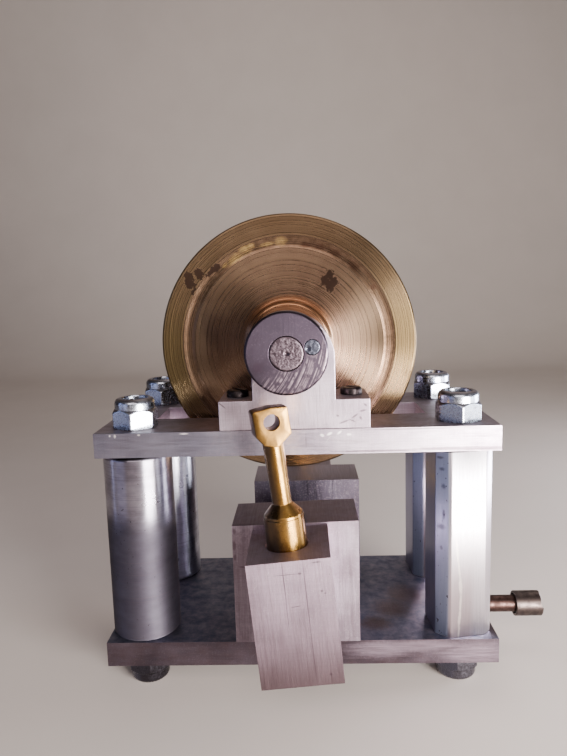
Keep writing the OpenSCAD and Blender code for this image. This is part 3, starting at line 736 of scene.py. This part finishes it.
def nut_points(turn):
    """A lock nut standing on its hexagon.

    A loop of (cap, height, hexagon share) is turned round the axis. Where the share is 1 the
    radius is the smaller of the cap and the hexagon, which draws the arcs of the chamfers.
    """
    hex_r = NUT_ACROSS_FLATS / 2 / math.cos(math.pi / 6)
    roll = np.linspace(0, math.pi / 2, 10)
    shoulder = np.linspace(0, 1, 7)
    arc_foot = np.linspace(-math.radians(60), 0, 5)
    groove_r = NUT_COLLAR_R - NUT_COLLAR_WALL
    groove_top = (NUT_H + NUT_HEX_H) / 2
    loop = [(STUD_R + 0.1, 0.0, 0)]
    loop += [(hex_r - 0.8 + 0.8 * math.cos(a), 0.8 + 0.8 * math.sin(a), 1) for a in arc_foot]
    loop += [(hex_r, h, 1) for h in np.linspace(1.2, NUT_HEX_H - NUT_SHOULDER - 0.1, 6)]
    loop += [(hex_r + (NUT_COLLAR_R - hex_r) * s, NUT_HEX_H - NUT_SHOULDER * (1 - s) + 0.25 * s * (1 - s), 1)
             for s in shoulder]
    loop += [(NUT_COLLAR_R, NUT_HEX_H + 0.12, 0), (NUT_COLLAR_R, NUT_HEX_H + 0.5, 0)]
    loop += [(NUT_COLLAR_R - NUT_ROLL_R + NUT_ROLL_R * math.cos(a),
              NUT_H - NUT_ROLL_R + NUT_ROLL_R * math.sin(a), 0) for a in roll]
    loop += [(STUD_R + 0.35, NUT_H - 0.1, 0), (STUD_R + 0.25, NUT_H - 0.3, 0), (STUD_R + 0.25, groove_top, 0)]
    loop += [(groove_r, groove_top, 0), (groove_r, NUT_HEX_H, 0), (STUD_R + 0.1, NUT_HEX_H, 0)]
    cap, height, share = np.array(loop, float).T
    a = np.linspace(0, TURN, 192, endpoint=False)
    hexagon = flats_radius(a, [(turn + d, NUT_ACROSS_FLATS / 2) for d in HEX_DIRECTIONS], hex_r, 110)
    power = 120
    both = (cap[:, None] ** -power + hexagon[None] ** -power) ** (-1 / power)
    r = np.where(share[:, None] > 0.5, both, cap[:, None])
    return around(r, height[:, None], a)


def flipped(points):
    """Upside down: a half turn about X."""
    return points * np.array([1.0, -1.0, -1.0])


def ring_points(low, high, inner, outer):
    """A ring with rounded edges between two heights."""
    return revolve(rounded([(inner, low), (outer, low), (outer, high), (inner, high)], 0.3), 96)


def stud_points(length):
    """A threaded stud: the radius falls by the thread's depth with the phase height/pitch - turn."""
    end = 12.0
    fine = np.arange(0, end, THREAD_PITCH / 10)
    h = np.concatenate([fine, np.linspace(end, length - end, 12), length - fine[::-1]])
    a = np.linspace(0, TURN, 72, endpoint=False)
    phase = (h[:, None] / THREAD_PITCH - a[None] / TURN) % 1
    flank = np.clip(2.4 * np.abs(phase - 0.5) * 2 - 0.5, 0, 1)
    taper = np.clip(np.minimum(h, length - h)[:, None] / 0.8, 0, 1)
    r = STUD_R - THREAD_DEPTH * np.maximum(flank, 1 - taper)
    side = around(r, h[:, None], a)
    foot = np.zeros((1, len(a), 3))
    top = foot + np.array([0, 0, length])
    return np.concatenate([foot, side, top])


def bar_points(node_name, x, y):
    """A bar with five flats, drilled through: the flats' rule gives the radius at each angle."""
    low, high = box_mm(node_name)
    round_r = 11.0
    a = np.linspace(0, TURN, 360, endpoint=False)
    r = flats_radius(a, BAR_FLATS, round_r, 260)
    h = high[2] - low[2]
    loop = np.array([(0, 0.0), (-0.25, 0.0), (0, 0.25), (0, h - 0.25), (-0.25, h), (0, h)])
    outer = r[None] + loop[:, :1]
    outer[0] = outer[-1] = POST_BORE_R
    return around(outer, loop[:, 1:], a) + np.array([x, y, low[2]])


# Pieces that turn

def wheel_points():
    """The flywheel: boss, faces with a shallow groove, rim, all as one loop turned round."""
    low, high = box_mm("flywheel")
    half = high[1]
    rim = (high[0] - low[0]) / 2
    face = WHEEL_T / 2
    groove_in = GROOVE_OUTER_R - GROOVE_W
    side = [
        (WHEEL_BORE_R, half), (BOSS_R - BOSS_CHAMFER, half), (BOSS_R, half - BOSS_CHAMFER), (BOSS_R, face),
        (groove_in, face), (groove_in + 0.6, face - GROOVE_DEPTH),
        (GROOVE_OUTER_R - 1.3, face - GROOVE_DEPTH), (GROOVE_OUTER_R, face),
        (rim - 0.5, face), (rim, face - 0.5)]
    loop = side + [(r, -h) for r, h in side[::-1]]
    return lay(revolve(rounded(loop, 0.35), 256), "Y", middle_mm("flywheel"))


def shaft_points():
    """The crankshaft, a profile turned round, its ends lowered by dents where two ripples dip.

    The dents lie between the middle's dimple and the rounded edge.
    """
    low, high = box_mm("crankshaft")
    half = (high[1] - low[1]) / 2
    dish = [(0.0, -0.7), (0.35, -0.35), (0.7, -0.05)] + [(r, 0.0) for r in np.linspace(0.9, 4.5, 28)]
    edge = [(4.75, -0.05), (4.95, -0.16), (SHAFT_R, -0.4)]
    end = np.array(dish + edge) + [0, half]
    points = revolve(np.concatenate([end, (end * [1, -1])[::-1]]), 144)
    x, y, z = np.moveaxis(points, -1, 0)
    near = np.clip((np.abs(z) - half + 0.9) / 0.9, 0, 1)
    reach = np.hypot(x, y)
    dents = 0.5 * ripple(x, y, 1.1, 4) + 0.3 * ripple(x, y, 0.5, 9)
    hammered = np.clip(reach / 1.2, 0, 1) * np.clip((SHAFT_R - reach) / 0.5, 0, 1)
    cut = 0.07 * near * hammered * np.clip(0.35 - dents, 0, 1)
    points[..., 2] -= np.sign(z) * cut
    return lay(points, "Y", middle_mm("crankshaft"))


def pin_points(node_name):
    """A crank pin broken off flush: a disc turned round, its end lowered by a ripple and a torn bite.

    The bite falls off evenly from a point near one side, as a shallow cone does.
    """
    low, high = box_mm(node_name)
    length = high[1] - low[1]
    profile = [(0.0, length)] + [(r, length) for r in np.linspace(0.2, PIN_R - 0.2, 12)]
    profile += [(PIN_R, length - 0.2), (PIN_R, 0.0), (0.0, 0.0)]
    points = revolve(profile, 72)
    x, y = points[..., 0], points[..., 1]
    top = np.clip((points[..., 2] - length + 0.3) / 0.3, 0, 1)
    bite = np.clip(1 - np.hypot(x + 1.35, y + 0.4) / 1.1, 0, 1)
    points[..., 2] -= top * (0.45 * bite + 0.06 * (1 + ripple(x, y, 1.3, 3)))
    middle = middle_mm(node_name)
    in_front = lay(points, "Y", (middle[0], length / 2 - abs(middle[1]), middle[2]))
    return mirrored(in_front, middle[1] > 0)


# Pistons and their rods

def cylinder_axis(side):
    """A cylinder's pivot in millimetres, and how far its axis leans about Y, from +Z towards -X."""
    axis = joints[side + "_slide"]["axis"]
    return np.array(joints[side + "_rock"]["pos_m"]) / MM, math.atan2(-axis[0], axis[2])


def on_cylinder_axis(points, side):
    """From a cylinder's own frame, its axis +Z and its pivot at the origin, to the engine's.

    The frame leans about Y by the slide's angle, and the rear one is a mirror image.
    """
    pivot, lean = cylinder_axis(side)
    c, s = math.cos(lean), math.sin(lean)
    x, y, z = np.moveaxis(points, -1, 0)
    turned = np.stack([c * x - s * z, y, s * x + c * z], axis=-1)
    return mirrored(turned, side == "rear") + pivot


def in_bore(points, side):
    """From the piston's own frame, its foot at the origin, into the bore of its cylinder.

    Above the cone's top the rod is bent towards -X: x loses (z - top) sin b, z - top shrinks by cos b.
    """
    top = PISTON_L + PISTON_STEP_L + PISTON_CONE_L
    x, y, z = np.moveaxis(points, -1, 0)
    above = np.clip(z - top, 0, None)
    share = np.clip(above / 1.5, 0, 1)
    angle = ROD_BEND * share
    bent_x = x * np.cos(angle) - above * np.sin(angle)
    bent_z = np.minimum(z, top) + above * np.cos(angle) + x * np.sin(angle)
    bent = np.stack([bent_x - BORE_OFFSET, y, bent_z + BORE_FLOOR], axis=-1)
    return on_cylinder_axis(bent, side)


def rod_profile():
    """Radius and height of the piston, its step, the cone and the rod, from the foot up."""
    step_r = PISTON_R - PISTON_STEP
    cone = PISTON_L + PISTON_STEP_L
    top = cone + PISTON_CONE_L
    neck = EYE_H - 4.6
    outline = [
        (0, 0), (PISTON_R - 0.6, 0), (PISTON_R, 0.6), (PISTON_R, PISTON_L - 0.1),
        (step_r, PISTON_L + 0.1), (step_r, cone)]
    outline += [(step_r + (ROD_R - step_r) * s, cone + (top - cone) * s) for s in (0.3, 0.6)]
    outline += [(ROD_R, top)]
    outline += [(ROD_R + (ROD_TOP_R - ROD_R) * s, top + (neck - top) * s) for s in np.linspace(0.1, 1, 10)]
    outline += [(0, neck + 0.3)]
    return rounded(outline, 0.25, closed=False, steps=4)


def eye_points():
    """The eye as a loop round its hole: hole wall, front face, side, back face.

    The outline is the flats' rule: a flat of direction d and distance f for each straight side,
    two for the low crown and three for the shoulders and the neck, which slopes down to the left.
    Each ring runs between the hole's radius and the outline's.
    """
    round_r = 9.0
    a = np.linspace(0, TURN, 256, endpoint=False)
    outline = flats_radius(a, EYE_FLATS, round_r, 90)
    half = EYE_T / 2
    loop = [
        (0, -half + 0.3), (0.03, -half), (0.3, -half), (0.9, -half), (0.97, -half + 0.1), (1, -half + 0.4),
        (1, half - 0.4), (0.97, half - 0.1), (0.9, half), (0.3, half), (0.03, half), (0, half - 0.3)]
    share, depth = np.array(loop).T
    hole = EYE_HOLE_R * np.ones_like(a)
    r = hole + (outline - hole) * share[:, None]
    y = depth[:, None] * np.ones_like(a)
    points = np.stack([r * np.cos(a), y, r * np.sin(a)], axis=-1)
    c, s = math.cos(EYE_TURN), math.sin(EYE_TURN)
    x, y = points[..., 0], points[..., 1]
    return np.stack([c * x - s * y, s * x + c * y, points[..., 2] + EYE_H], axis=-1)


# Springs, screws and the inlet

def spring_points(side):
    """A round wire swept along a helix, its angle rising evenly with its length, to closed ends."""
    low, high = box_mm("pivot_spring_" + side)
    x, _, z = (low + high) / 2
    wire = SPRING_WIRE_R
    r = (high[0] - low[0]) / 2 - wire
    length = high[1] - low[1] - 2 * wire
    t = np.linspace(0, 1, 180)[:, None]
    b = np.linspace(0, TURN, 16, endpoint=False)[None]
    size = wire * np.clip(np.minimum(t, 1 - t) * 400, 0, 1)
    a = TURN * SPRING_TURNS * t
    reach = r + size * np.cos(b)
    y = low[1] + wire + length * t + size * np.sin(b)
    return np.stack([x + reach * np.cos(a), y, z + reach * np.sin(a)], axis=-1)


def pivot_stud_points(node_name):
    """A plain round stud lying front to back, its ends rounded."""
    low, high = box_mm(node_name)
    length = high[1] - low[1]
    profile = [(0, 0), (PIVOT_STUD_R, 0), (PIVOT_STUD_R, length), (0, length)]
    x, y, z = (low + high) / 2
    return lay(revolve(rounded(profile, 0.4, closed=False), 64), "Y", (x, y + length / 2, z))


def hex_nut_points(node_name):
    """A plain hexagon nut lying front to back: the smaller of a turned loop and a hexagon."""
    low, high = box_mm(node_name)
    length = high[1] - low[1]
    apothem = PIVOT_FLATS / 2
    corner = apothem / math.cos(math.pi / 6)
    hole = PIVOT_STUD_R + 0.1
    loop = np.array([
        (hole, 0), (corner - 0.6, 0), (corner, 0.5),
        (corner, length - 0.5), (corner - 0.6, length), (hole, length)])
    a = np.linspace(0, TURN, 144, endpoint=False)
    hexagon = flats_radius(a, [(d, apothem) for d in HEX_DIRECTIONS], corner, 110)
    r = np.minimum(loop[:, :1], hexagon[None])
    x, y, z = (low + high) / 2
    return lay(around(r, loop[:, 1:], a), "Y", (x, y + length / 2, z))


def screw_points(x, y, low, high):
    """A cheese head screw: shank, head and a slot pressed into the head."""
    under_head = high - SCREW_HEAD_H
    head_r = SCREW_HEAD_R
    profile = [(0, low), (2, low), (2, under_head), (head_r - 0.2, under_head), (head_r, under_head + 0.2)]
    profile += [(head_r, high - 0.7), (head_r - 0.2, high - 0.25), (head_r - 0.6, high)]
    profile += [(r, high) for r in np.linspace(head_r - 0.9, 0, 14)]
    points = revolve(profile, 96)
    near = np.clip((points[..., 2] - high + 0.3) / 0.3, 0, 1)
    slot = np.clip((0.75 - np.abs(points[..., 0] * 0.8 + points[..., 1] * 0.6)) / 0.25, 0, 1)
    points[..., 2] -= SCREW_SLOT_DEPTH * slot * near
    return points + np.array([x, y, 0])


def tube_points(node_name, inner, torn=0.0):
    """A tube along X. torn pulls its right end back by a ragged rule of the angle."""
    low, high = box_mm(node_name)
    outer = (high[1] - low[1]) / 2
    length = high[0] - low[0]
    body = np.linspace(0.6, length - 0.6, 10)
    outside = [(outer - 0.15, 0), (outer, 0.2)] + [(outer, h) for h in body]
    outside += [(outer, length - 0.2), (outer - 0.15, length)]
    inside = [(inner + 0.1, length), (inner, length - 0.2)] + [(inner, h) for h in body[::-1]]
    inside += [(inner, 0.2), (inner + 0.1, 0)]
    points = revolve(outside + inside, 96)
    a = np.arctan2(points[..., 1], points[..., 0])
    end = np.clip((points[..., 2] - length * 0.4) / (length * 0.6), 0, 1) ** 2
    rag = np.clip(0.45 + 0.35 * np.cos(a - 0.4) + 0.25 * np.sin(3 * a) + 0.12 * np.sin(7 * a + 1), 0, 1)
    points[..., 2] -= torn * end * rag
    _, y, z = middle_mm(node_name)
    return lay(points, "X", (low[0], y, z))


# The scene's camera, floor and lights

def place_camera():
    """The photo's view, fitted to the plates', posts' and blocks' edges."""
    heading, pitch, roll = np.radians([CAMERA_HEADING, CAMERA_PITCH, CAMERA_ROLL]).tolist()
    level = math.cos(pitch)
    ahead = Vector((math.sin(heading) * level, math.cos(heading) * level, -math.sin(pitch)))
    right = Vector((math.cos(heading), -math.sin(heading), 0))
    up = right.cross(ahead)
    tilted_right = right * math.cos(roll) + up * math.sin(roll)
    tilted_up = up * math.cos(roll) - right * math.sin(roll)
    turned = Matrix((tilted_right, tilted_up, -ahead)).transposed().to_4x4()
    data = bpy.data.cameras.new("camera")
    data.sensor_width = 36
    data.sensor_fit = "AUTO"
    data.lens = CAMERA_LENS
    data.clip_start = 0.01
    camera = bpy.data.objects.new("camera", data)
    camera.matrix_world = Matrix.Translation(Vector(CAMERA_PLACE) * MM) @ turned
    bpy.context.scene.collection.objects.link(camera)
    bpy.context.scene.camera = camera


def lay_floor():
    """A pale sheet: flat under the engine, then a quarter round up to a wall behind it."""
    back, bend, top, near = 700.0, 300.0, 1600.0, -1500.0
    a = np.linspace(0, math.pi / 2, 24)
    y = np.concatenate([[near], back + bend * np.sin(a), [back + bend]])
    z = np.concatenate([[0], bend - bend * np.cos(a), [top]])
    x = np.array([-2500.0, 2500.0])
    points = np.stack(np.broadcast_arrays(x[None], y[:, None], z[:, None]), axis=-1)
    mesh = to_mesh("floor", points, (False, False))
    mesh.shade_smooth()
    f = Finish("pale matt floor", "#c4bbb5", metallic=0.0, Roughness=0.85)
    f.coat("#bab1ab", f.grain(60))
    mesh.materials.append(f.material)
    floor = bpy.data.objects.new("floor", mesh)
    bpy.context.scene.collection.objects.link(floor)


def add_light(name, place, aim, size, power, colour):
    """A rectangular soft light at a place, aimed at a point, both in metres."""
    data = bpy.data.lights.new(name, "AREA")
    data.shape = "RECTANGLE"
    data.size, data.size_y = size
    data.energy = power
    data.color = linear(colour)[:3]
    light = bpy.data.objects.new(name, data)
    light.location = place
    light.visible_camera = False
    light.rotation_euler = (Vector(aim) - Vector(place)).to_track_quat("-Z", "Y").to_euler()
    bpy.context.scene.collection.objects.link(light)


def light_scene():
    """A low soft light from the front right that wraps round the right side, and cool light from the left.

    The low card stands just above the floor and brightens the front faces.
    """
    add_light("window", (0.32, -0.46, 0.13), (0.0, -0.02, 0.07), (0.24, 0.12), 6.6, "#fffaf6")
    add_light("low card", (0.20, -0.27, 0.03), (-0.01, 0, 0.10), (0.20, 0.05), 4.4, "#fff6ee")
    add_light("side window", (0.42, 0.10, 0.07), (0.04, 0, 0.05), (0.24, 0.12), 3.2, "#f6f4ff")
    add_light("side pane", (0.50, -0.17, 0.06), (0.03, -0.02, 0.08), (0.12, 0.11), 0.6, "#f8f8ff")
    add_light("cool strip", (-0.55, -0.13, 0.14), (-0.05, 0, 0.05), (0.05, 0.36), 0.35, "#a9b4dc")
    add_light("cool fill", (-0.50, -0.42, 0.12), (0, 0, 0.06), (0.35, 0.24), 0.4, "#b4bde8")
    add_light("high front", (-0.05, -0.75, 0.60), (0, 0, 0.1), (0.7, 0.4), 3.8, "#fff0ea")
    add_light("overhead", (0.15, 0.45, 0.95), (0, 0.1, 0.1), (0.7, 0.7), 2.6, "#fff4ec")
    world = bpy.data.worlds.new("dim room")
    world.use_nodes = True
    background = world.node_tree.nodes["Background"]
    background.inputs["Color"].default_value = linear("#b5a9a9")
    background.inputs["Strength"].default_value = 0.1
    bpy.context.scene.world = world


# Marks on faces, in millimetres, with their turn about Y in degrees

def on_face(y, depth, marks):
    """Marks (x, z, half width, half height, turn) on the face at y, as (centre, half sizes, turn).

    depth is how far each reaches into the face.
    """
    return [((x, y, z), (wide, depth, tall), turn) for x, z, wide, tall, turn in marks]


PLATE_SCORES = on_face(-31.5, 0.8, [
    (34, 79.3, 9, 0.5, 0), (43, 79.2, 9, 0.6, 0), (49, 79.2, 4, 0.6, 0), (14, 79.0, 14, 0.3, 0),
    (22, 85.6, 12, 0.2, 0)])
PLATE_SCORES += on_face(-31.5, 1, [(-8.6, 82.6, 0.12, 2.4, 0)])
# A broad bluish patch over the left half of the top plate's front: painted shade.
PLATE_LEFT_SHADE = on_face(-31.5, 1.2, [(-62, 82, 52, 9, 0)])
PLATE_CHIPS = on_face(-31.5, 1, [
    (-67.4, 85.3, 0.3, 0.5, 0), (-69, 85.4, 0.25, 0.35, 0), (-60, 85.5, 0.4, 0.25, 0),
    (-46, 85.6, 1.2, 0.2, 0), (-1.4, 84.6, 0.9, 0.4, -25), (-3.6, 84.2, 0.6, 0.4, 20),
    (1.6, 84.9, 0.8, 0.3, -40), (4.6, 84.3, 0.7, 0.35, 0)])

# Patches on the deck's top face, as (centre, half sizes, turn)
DECK_PATCHES = [
    ((26, -2, 17.6), (6, 7, 1), 0), ((20, -12, 17.6), (6, 6, 1), 0), ((13, -22, 17.6), (5, 4, 1), 0),
    ((50.5, -25, 17.6), (2.5, 5, 1), 0)]

# Paler patches on the upper right of the bottom plate's front.
BOTTOM_FRONT_PALE_PATCHES = on_face(-32.5, 1, [(13, 14.4, 9, 2.4, 0), (26, 15.4, 12, 1.6, 0)])
BOTTOM_FRONT_PALE_PATCHES += on_face(-32.5, 1.2, [(42, 12.5, 9, 3.4, 0)])
PORT_SCORES = on_face(-32.8, 1, [
    (-29.3, 42.8, 1.1, 0.3, 4), (-31.6, 54.5, 0.5, 0.9, 0), (-31.8, 50, 0.5, 1.4, 0),
    (-31.7, 46, 0.35, 1.0, 0)])
PORT_STAIN_AND_SHADOW = on_face(-32.8, 1, [(-29.5, 27.8, 1.6, 1.8, 0)])
# The small patch on the line before is a stain; this tall dark patch on the left strip is the cylinder's
# painted shadow.
PORT_STAIN_AND_SHADOW += on_face(-32.8, 1.5, [(-29.5, 36, 5, 26, 0)])
FOOT_SCORES = on_face(-31.5, 1, [
    (3.2, 88.3, 1.6, 0.28, -20), (6.4, 90.0, 1.2, 0.25, -35), (8.8, 91.6, 1.0, 0.3, -10),
    (5.6, 88.6, 1.1, 0.2, 25), (9.6, 93.4, 0.6, 0.3, 40), (1.2, 90.2, 0.5, 0.3, 10),
    (8.2, 89.3, 0.6, 0.35, 60), (-34, 94.2, 1.5, 0.22, 40)])
FOOT_SCORES += on_face(-31.5, 0.8, [(-12, 86.25, 23.6, 0.22, 0)])
TRICKLE = on_face(-31, 3, [
    (37.7, 46, 0.35, 4.5, -5), (38.3, 40, 0.3, 3.6, -6), (38.8, 34.5, 0.5, 3.2, -3),
    (38.8, 29, 0.35, 3.5, 3), (38.5, 24, 0.45, 3, 5), (38.3, 19.5, 0.3, 2.4, 3)])
DENTS = on_face(-29.5, 2.5, [
    (33, 72.4, 0.7, 0.5, 0), (33.5, 67, 0.5, 0.9, 0), (33, 53.9, 1.0, 0.8, 0),
    (33.6, 58, 0.35, 1.4, 0), (32.6, 76, 0.8, 0.4, 0), (33, 47, 0.35, 0.6, 0)])
# Broad dark patches on the wheel's right and far left: painted shade.
WHEEL_PAINTED_SHADE = on_face(-6.5, 30, [(28, 112, 20, 19, 0), (-58, 106, 16, 24, 0)])
WHEEL_STAINS = on_face(-6.5, 2, [
    (0.5, 132.9, 1.6, 1.8, 0), (-0.3, 131, 2.2, 1.9, 0), (1.8, 130.6, 1.9, 1.5, 0),
    (0.9, 128.7, 1.7, 1.9, 0), (-46.3, 132, 1.7, 3.6, -12), (-42.9, 134.4, 1.3, 2.2, -35),
    (-37.4, 136.2, 2.4, 1.1, -25), (-39.4, 134.4, 2, 0.8, -40)])
WHEEL_GOLD = on_face(-6.5, 2, [
    (-27.5, 142, 1.6, 1.3, 0), (-15.3, 144.2, 1.5, 1.1, 0), (-30.8, 138.9, 2.4, 1.0, -35),
    (-25.4, 143, 1, 0.8, 0), (-20, 143.4, 2, 0.5, -10), (-34, 137, 1, 0.5, -40)])
WHEEL_DULL = on_face(-6.5, 2, [
    (-7.1, 142.9, 2, 0.8, 10), (-2.5, 142, 2.2, 0.9, 15), (2.5, 140, 2.5, 0.9, 30),
    (8.4, 135.6, 2.6, 1.1, 45), (15, 128.4, 1, 0.9, 50)])
DISC_STAINS = on_face(-39.7, 2, [(-22, 106.3, 1.8, 1.4, 0)])

# Lines scribed on a cylinder's face, counted from its pivot along its own axes
SCRIBED = on_face(-12.75, 1, [
    (-1.75, 12.5, 0.13, 6.3, 0), (-1.9, 3, 0.08, 4, 0), (3.95, 8, 0.12, 11, 0), (3.95, -9, 0.08, 8, 0),
    (-0.6, 14.8, 3.4, 0.12, 0), (2.8, 14.8, 0.55, 0.3, 0), (8.3, 9.2, 0.4, 0.35, 0),
    (9.1, 8.5, 0.3, 0.25, 0), (7.6, 17.6, 1.2, 0.2, 0), (8.1, -15.4, 0.4, 0.4, 0),
    (0.7, 5.4, 1.3, 0.12, -6)])

# Height under which a round post is rougher and painted darker, a painted shade, and its light and dark tone.
# The rear post's lighter, bluer tones are a painted reflection.
POST_TONES = {"front": (60, "#a3a0ae", "#7b7683"), "rear": (10, "#c6c8d4", "#a2a4b1")}


# Assembly

def dress_plates_and_blocks():
    """The two plates, the bearing blocks, the port blocks and the rocking cylinders."""
    top = block_aluminium("sawn aluminium plate", (10, 10, 0.4), pitted=1.0, scores=PLATE_SCORES,
                          tinted_patches=PLATE_LEFT_SHADE, patch_colour="#59606f", chips=PLATE_CHIPS)
    # The bottom plate's aluminium is darker than the blocks': painted shade, with real grime.
    bottom = block_aluminium("grimy aluminium plate in painted shade", (10, 10, 0.4), "#675c66", "#4b434c", overlay="#474d60",
                             line="#453c44", grime=0.4, bright=DECK_PATCHES, tinted_patches=BOTTOM_FRONT_PALE_PATCHES,
                             patch_colour="#8d7e8b")
    milled = block_aluminium("milled aluminium block", (0.4, 10, 9), scores=FOOT_SCORES)
    near_port = block_aluminium("dull aluminium block", (0.4, 10, 12), "#b6a9b9", "#948693",
                                overlay="#786d74", scores=PORT_SCORES, tinted_patches=PORT_STAIN_AND_SHADOW)
    # The rear port block is a darker copy of the aluminium: painted shade.
    far_port = block_aluminium("aluminium block in painted shade", (0.4, 10, 12), "#6f6878", "#564f5c",
                               overlay="#8d8288", line="#4d4552")
    edged("top_plate", top, 0.35)
    edged("bottom_plate", bottom, 0.35)
    edged("bearing_block_front", milled, 0.25)
    edged("bearing_block_rear", milled, 0.25)
    edged("port_block_front", near_port, 0.3)
    edged("port_block_rear", far_port, 0.3)
    for side in SIDES:
        pivot, lean = cylinder_axis(side)
        # The cylinder's front darkens downwards: painted shade.
        scribed = block_aluminium("scribed aluminium block " + side, (0.35, 10, 12), "#c8b2c6", "#a895a6",
                                  0.38, overlay="#786c70", scores=SCRIBED, downward_shade=(14, -20, 0.9),
                                  centre=pivot, turn=-lean)
        edged("cylinder_" + side, scribed, 0.6)


def dress_corners(nut_finish, stud_finish):
    """Each corner's post, stud and two nuts, and the nylon rings of all the nuts."""
    # The foot nuts' zinc is painted dark, darker on the left: painted shade.
    foot_finish = {"left": zinc("zinc plate in deep painted shade", "#423f46", "#2b282b"),
                   "right": zinc("zinc plate in painted shade", "#5f5d66", "#3e3b42")}
    bar_finish = squared_aluminium("aluminium bar with flats", TRICKLE, DENTS)
    gap = 0.03
    ring = ring_points(NUT_HEX_H + gap, (NUT_H + NUT_HEX_H) / 2 - gap, STUD_R + gap,
                       NUT_COLLAR_R - NUT_COLLAR_WALL - gap)
    rings = []
    for side_y, side_x in itertools.product(SIDES, ("left", "right")):
        corner = f"{side_y}_{side_x}"
        post, stud, top, foot = (kind + corner for kind in ("post_", "stud_", "nut_top_", "nut_foot_"))
        x, y, _ = middle_mm(top)
        if side_x == "left":
            post_finish = post_aluminium("turned aluminium " + corner, (x, y, 0), *POST_TONES[side_y])
            shaped(post, post_points(post), post_finish)
        else:
            shaped(post, bar_points(post, x, y), bar_finish, sharp=50)
        low, high = box_mm(stud)
        shaped(stud, stud_points(high[2] - low[2]) + [x, y, low[2]], stud_finish, (False, True), 60)
        top_seat = [x, y, box_mm(top)[0][2]]
        foot_seat = [x, y, box_mm(foot)[1][2]]
        top_nut = nut_points(NUT_TURNS[top]) + top_seat
        foot_nut = flipped(nut_points(-NUT_TURNS[foot])) + foot_seat
        shaped(top, top_nut, nut_finish, sharp=40)
        shaped(foot, foot_nut, foot_finish[side_x], sharp=40)
        rings.append(to_mesh("ring", ring + top_seat, (True, True)))
        rings.append(to_mesh("ring", flipped(ring) + foot_seat, (True, True)))
    dress("shaped_nylon_rings", join(rings), "nylon_rings", nylon("moulded nylon"))


def dress_bearing_screws():
    """Four screws at the corners of their node's box."""
    low, high = box_mm("bearing_screws")
    screws = []
    for x in (low[0] + SCREW_HEAD_R, high[0] - SCREW_HEAD_R):
        for y in (low[1] + SCREW_HEAD_R, high[1] - SCREW_HEAD_R):
            screws.append(to_mesh("screw", screw_points(x, y, low[2], high[2]), (False, True)))
    blackened = plain_metal("blackened steel", "#3a3334", "#1f1b1c", 0.5, 0.8)
    dress("shaped_bearing_screws", join(screws), "bearing_screws", blackened)


def dress_crank():
    """The wheel, the shaft with its peened ends, the crank discs and the stubs of their pins."""
    centre = middle_mm("flywheel")
    groove = (GROOVE_OUTER_R - GROOVE_W, GROOVE_OUTER_R)
    brass = wheel_brass("turned brass wheel", centre, groove, WHEEL_PAINTED_SHADE, WHEEL_STAINS, WHEEL_GOLD,
                        WHEEL_DULL)
    shaped("flywheel", wheel_points(), brass, sharp=50)
    shaped("crankshaft", shaft_points(), peened_steel("peened steel", centre), (False, True), 50)
    disc_finish = faced_steel("faced steel", centre, centre + [-26, 0, 8], DISC_STAINS)
    pin_finish = plain_metal("broken steel pin", "#585a68", "#3a3c46", 0.42, 0.9, 0.04)
    for side in SIDES:
        edged("crank_disc_" + side, disc_finish, 0.6)
        shaped("crank_pin_" + side, pin_points("crank_pin_" + side), pin_finish, (False, True), 50)


def dress_pistons_and_pivots(nut_finish, stud_finish):
    """Each side's piston and rod with its eye, and the stud, spring and nut of its pivot."""
    wire = plain_metal("drawn spring wire", "#8d8a8a", "#5c5858", 0.35)
    for side in SIDES:
        pivot, lean = cylinder_axis(side)
        rod = "piston_rod_" + side
        turned = to_mesh("shaped_" + rod, in_bore(revolve(rod_profile(), 128), side), (False, True))
        eye = to_mesh("eye", in_bore(eye_points(), side), (True, True))
        brass = rod_brass("bright turned brass " + side, pivot, -lean)
        dress("shaped_" + rod, join([turned, eye]), rod, brass, 40)
        shaped("pivot_stud_" + side, pivot_stud_points("pivot_stud_" + side), stud_finish, (False, True))
        shaped("pivot_spring_" + side, spring_points(side), wire, (False, True), 80)
        shaped("pivot_nut_" + side, hex_nut_points("pivot_nut_" + side), nut_finish)


def dress_inlet():
    """The air inlet's pipe and the torn sleeve on its end."""
    copper = plain_metal("drawn copper pipe", "#57433f", "#382a27", 0.4, 2.0)
    sleeve = plain_metal("dull brass sleeve", "#564c49", "#3d3534", 0.42, 2.0)
    shaped("inlet_pipe", tube_points("inlet_pipe", PIPE_BORE_R), copper)
    shaped("inlet_sleeve", tube_points("inlet_sleeve", SLEEVE_BORE_R, SLEEVE_TEAR), sleeve)


place_camera()
lay_floor()
light_scene()
bright_zinc = zinc("bright zinc plate")
rolled_steel = plain_metal("rolled steel thread", "#7b7778", "#4a4545", 0.38, 1.0)
dress_plates_and_blocks()
dress_corners(bright_zinc, rolled_steel)
dress_bearing_screws()
dress_crank()
dress_pistons_and_pivots(bright_zinc, rolled_steel)
dress_inlet()
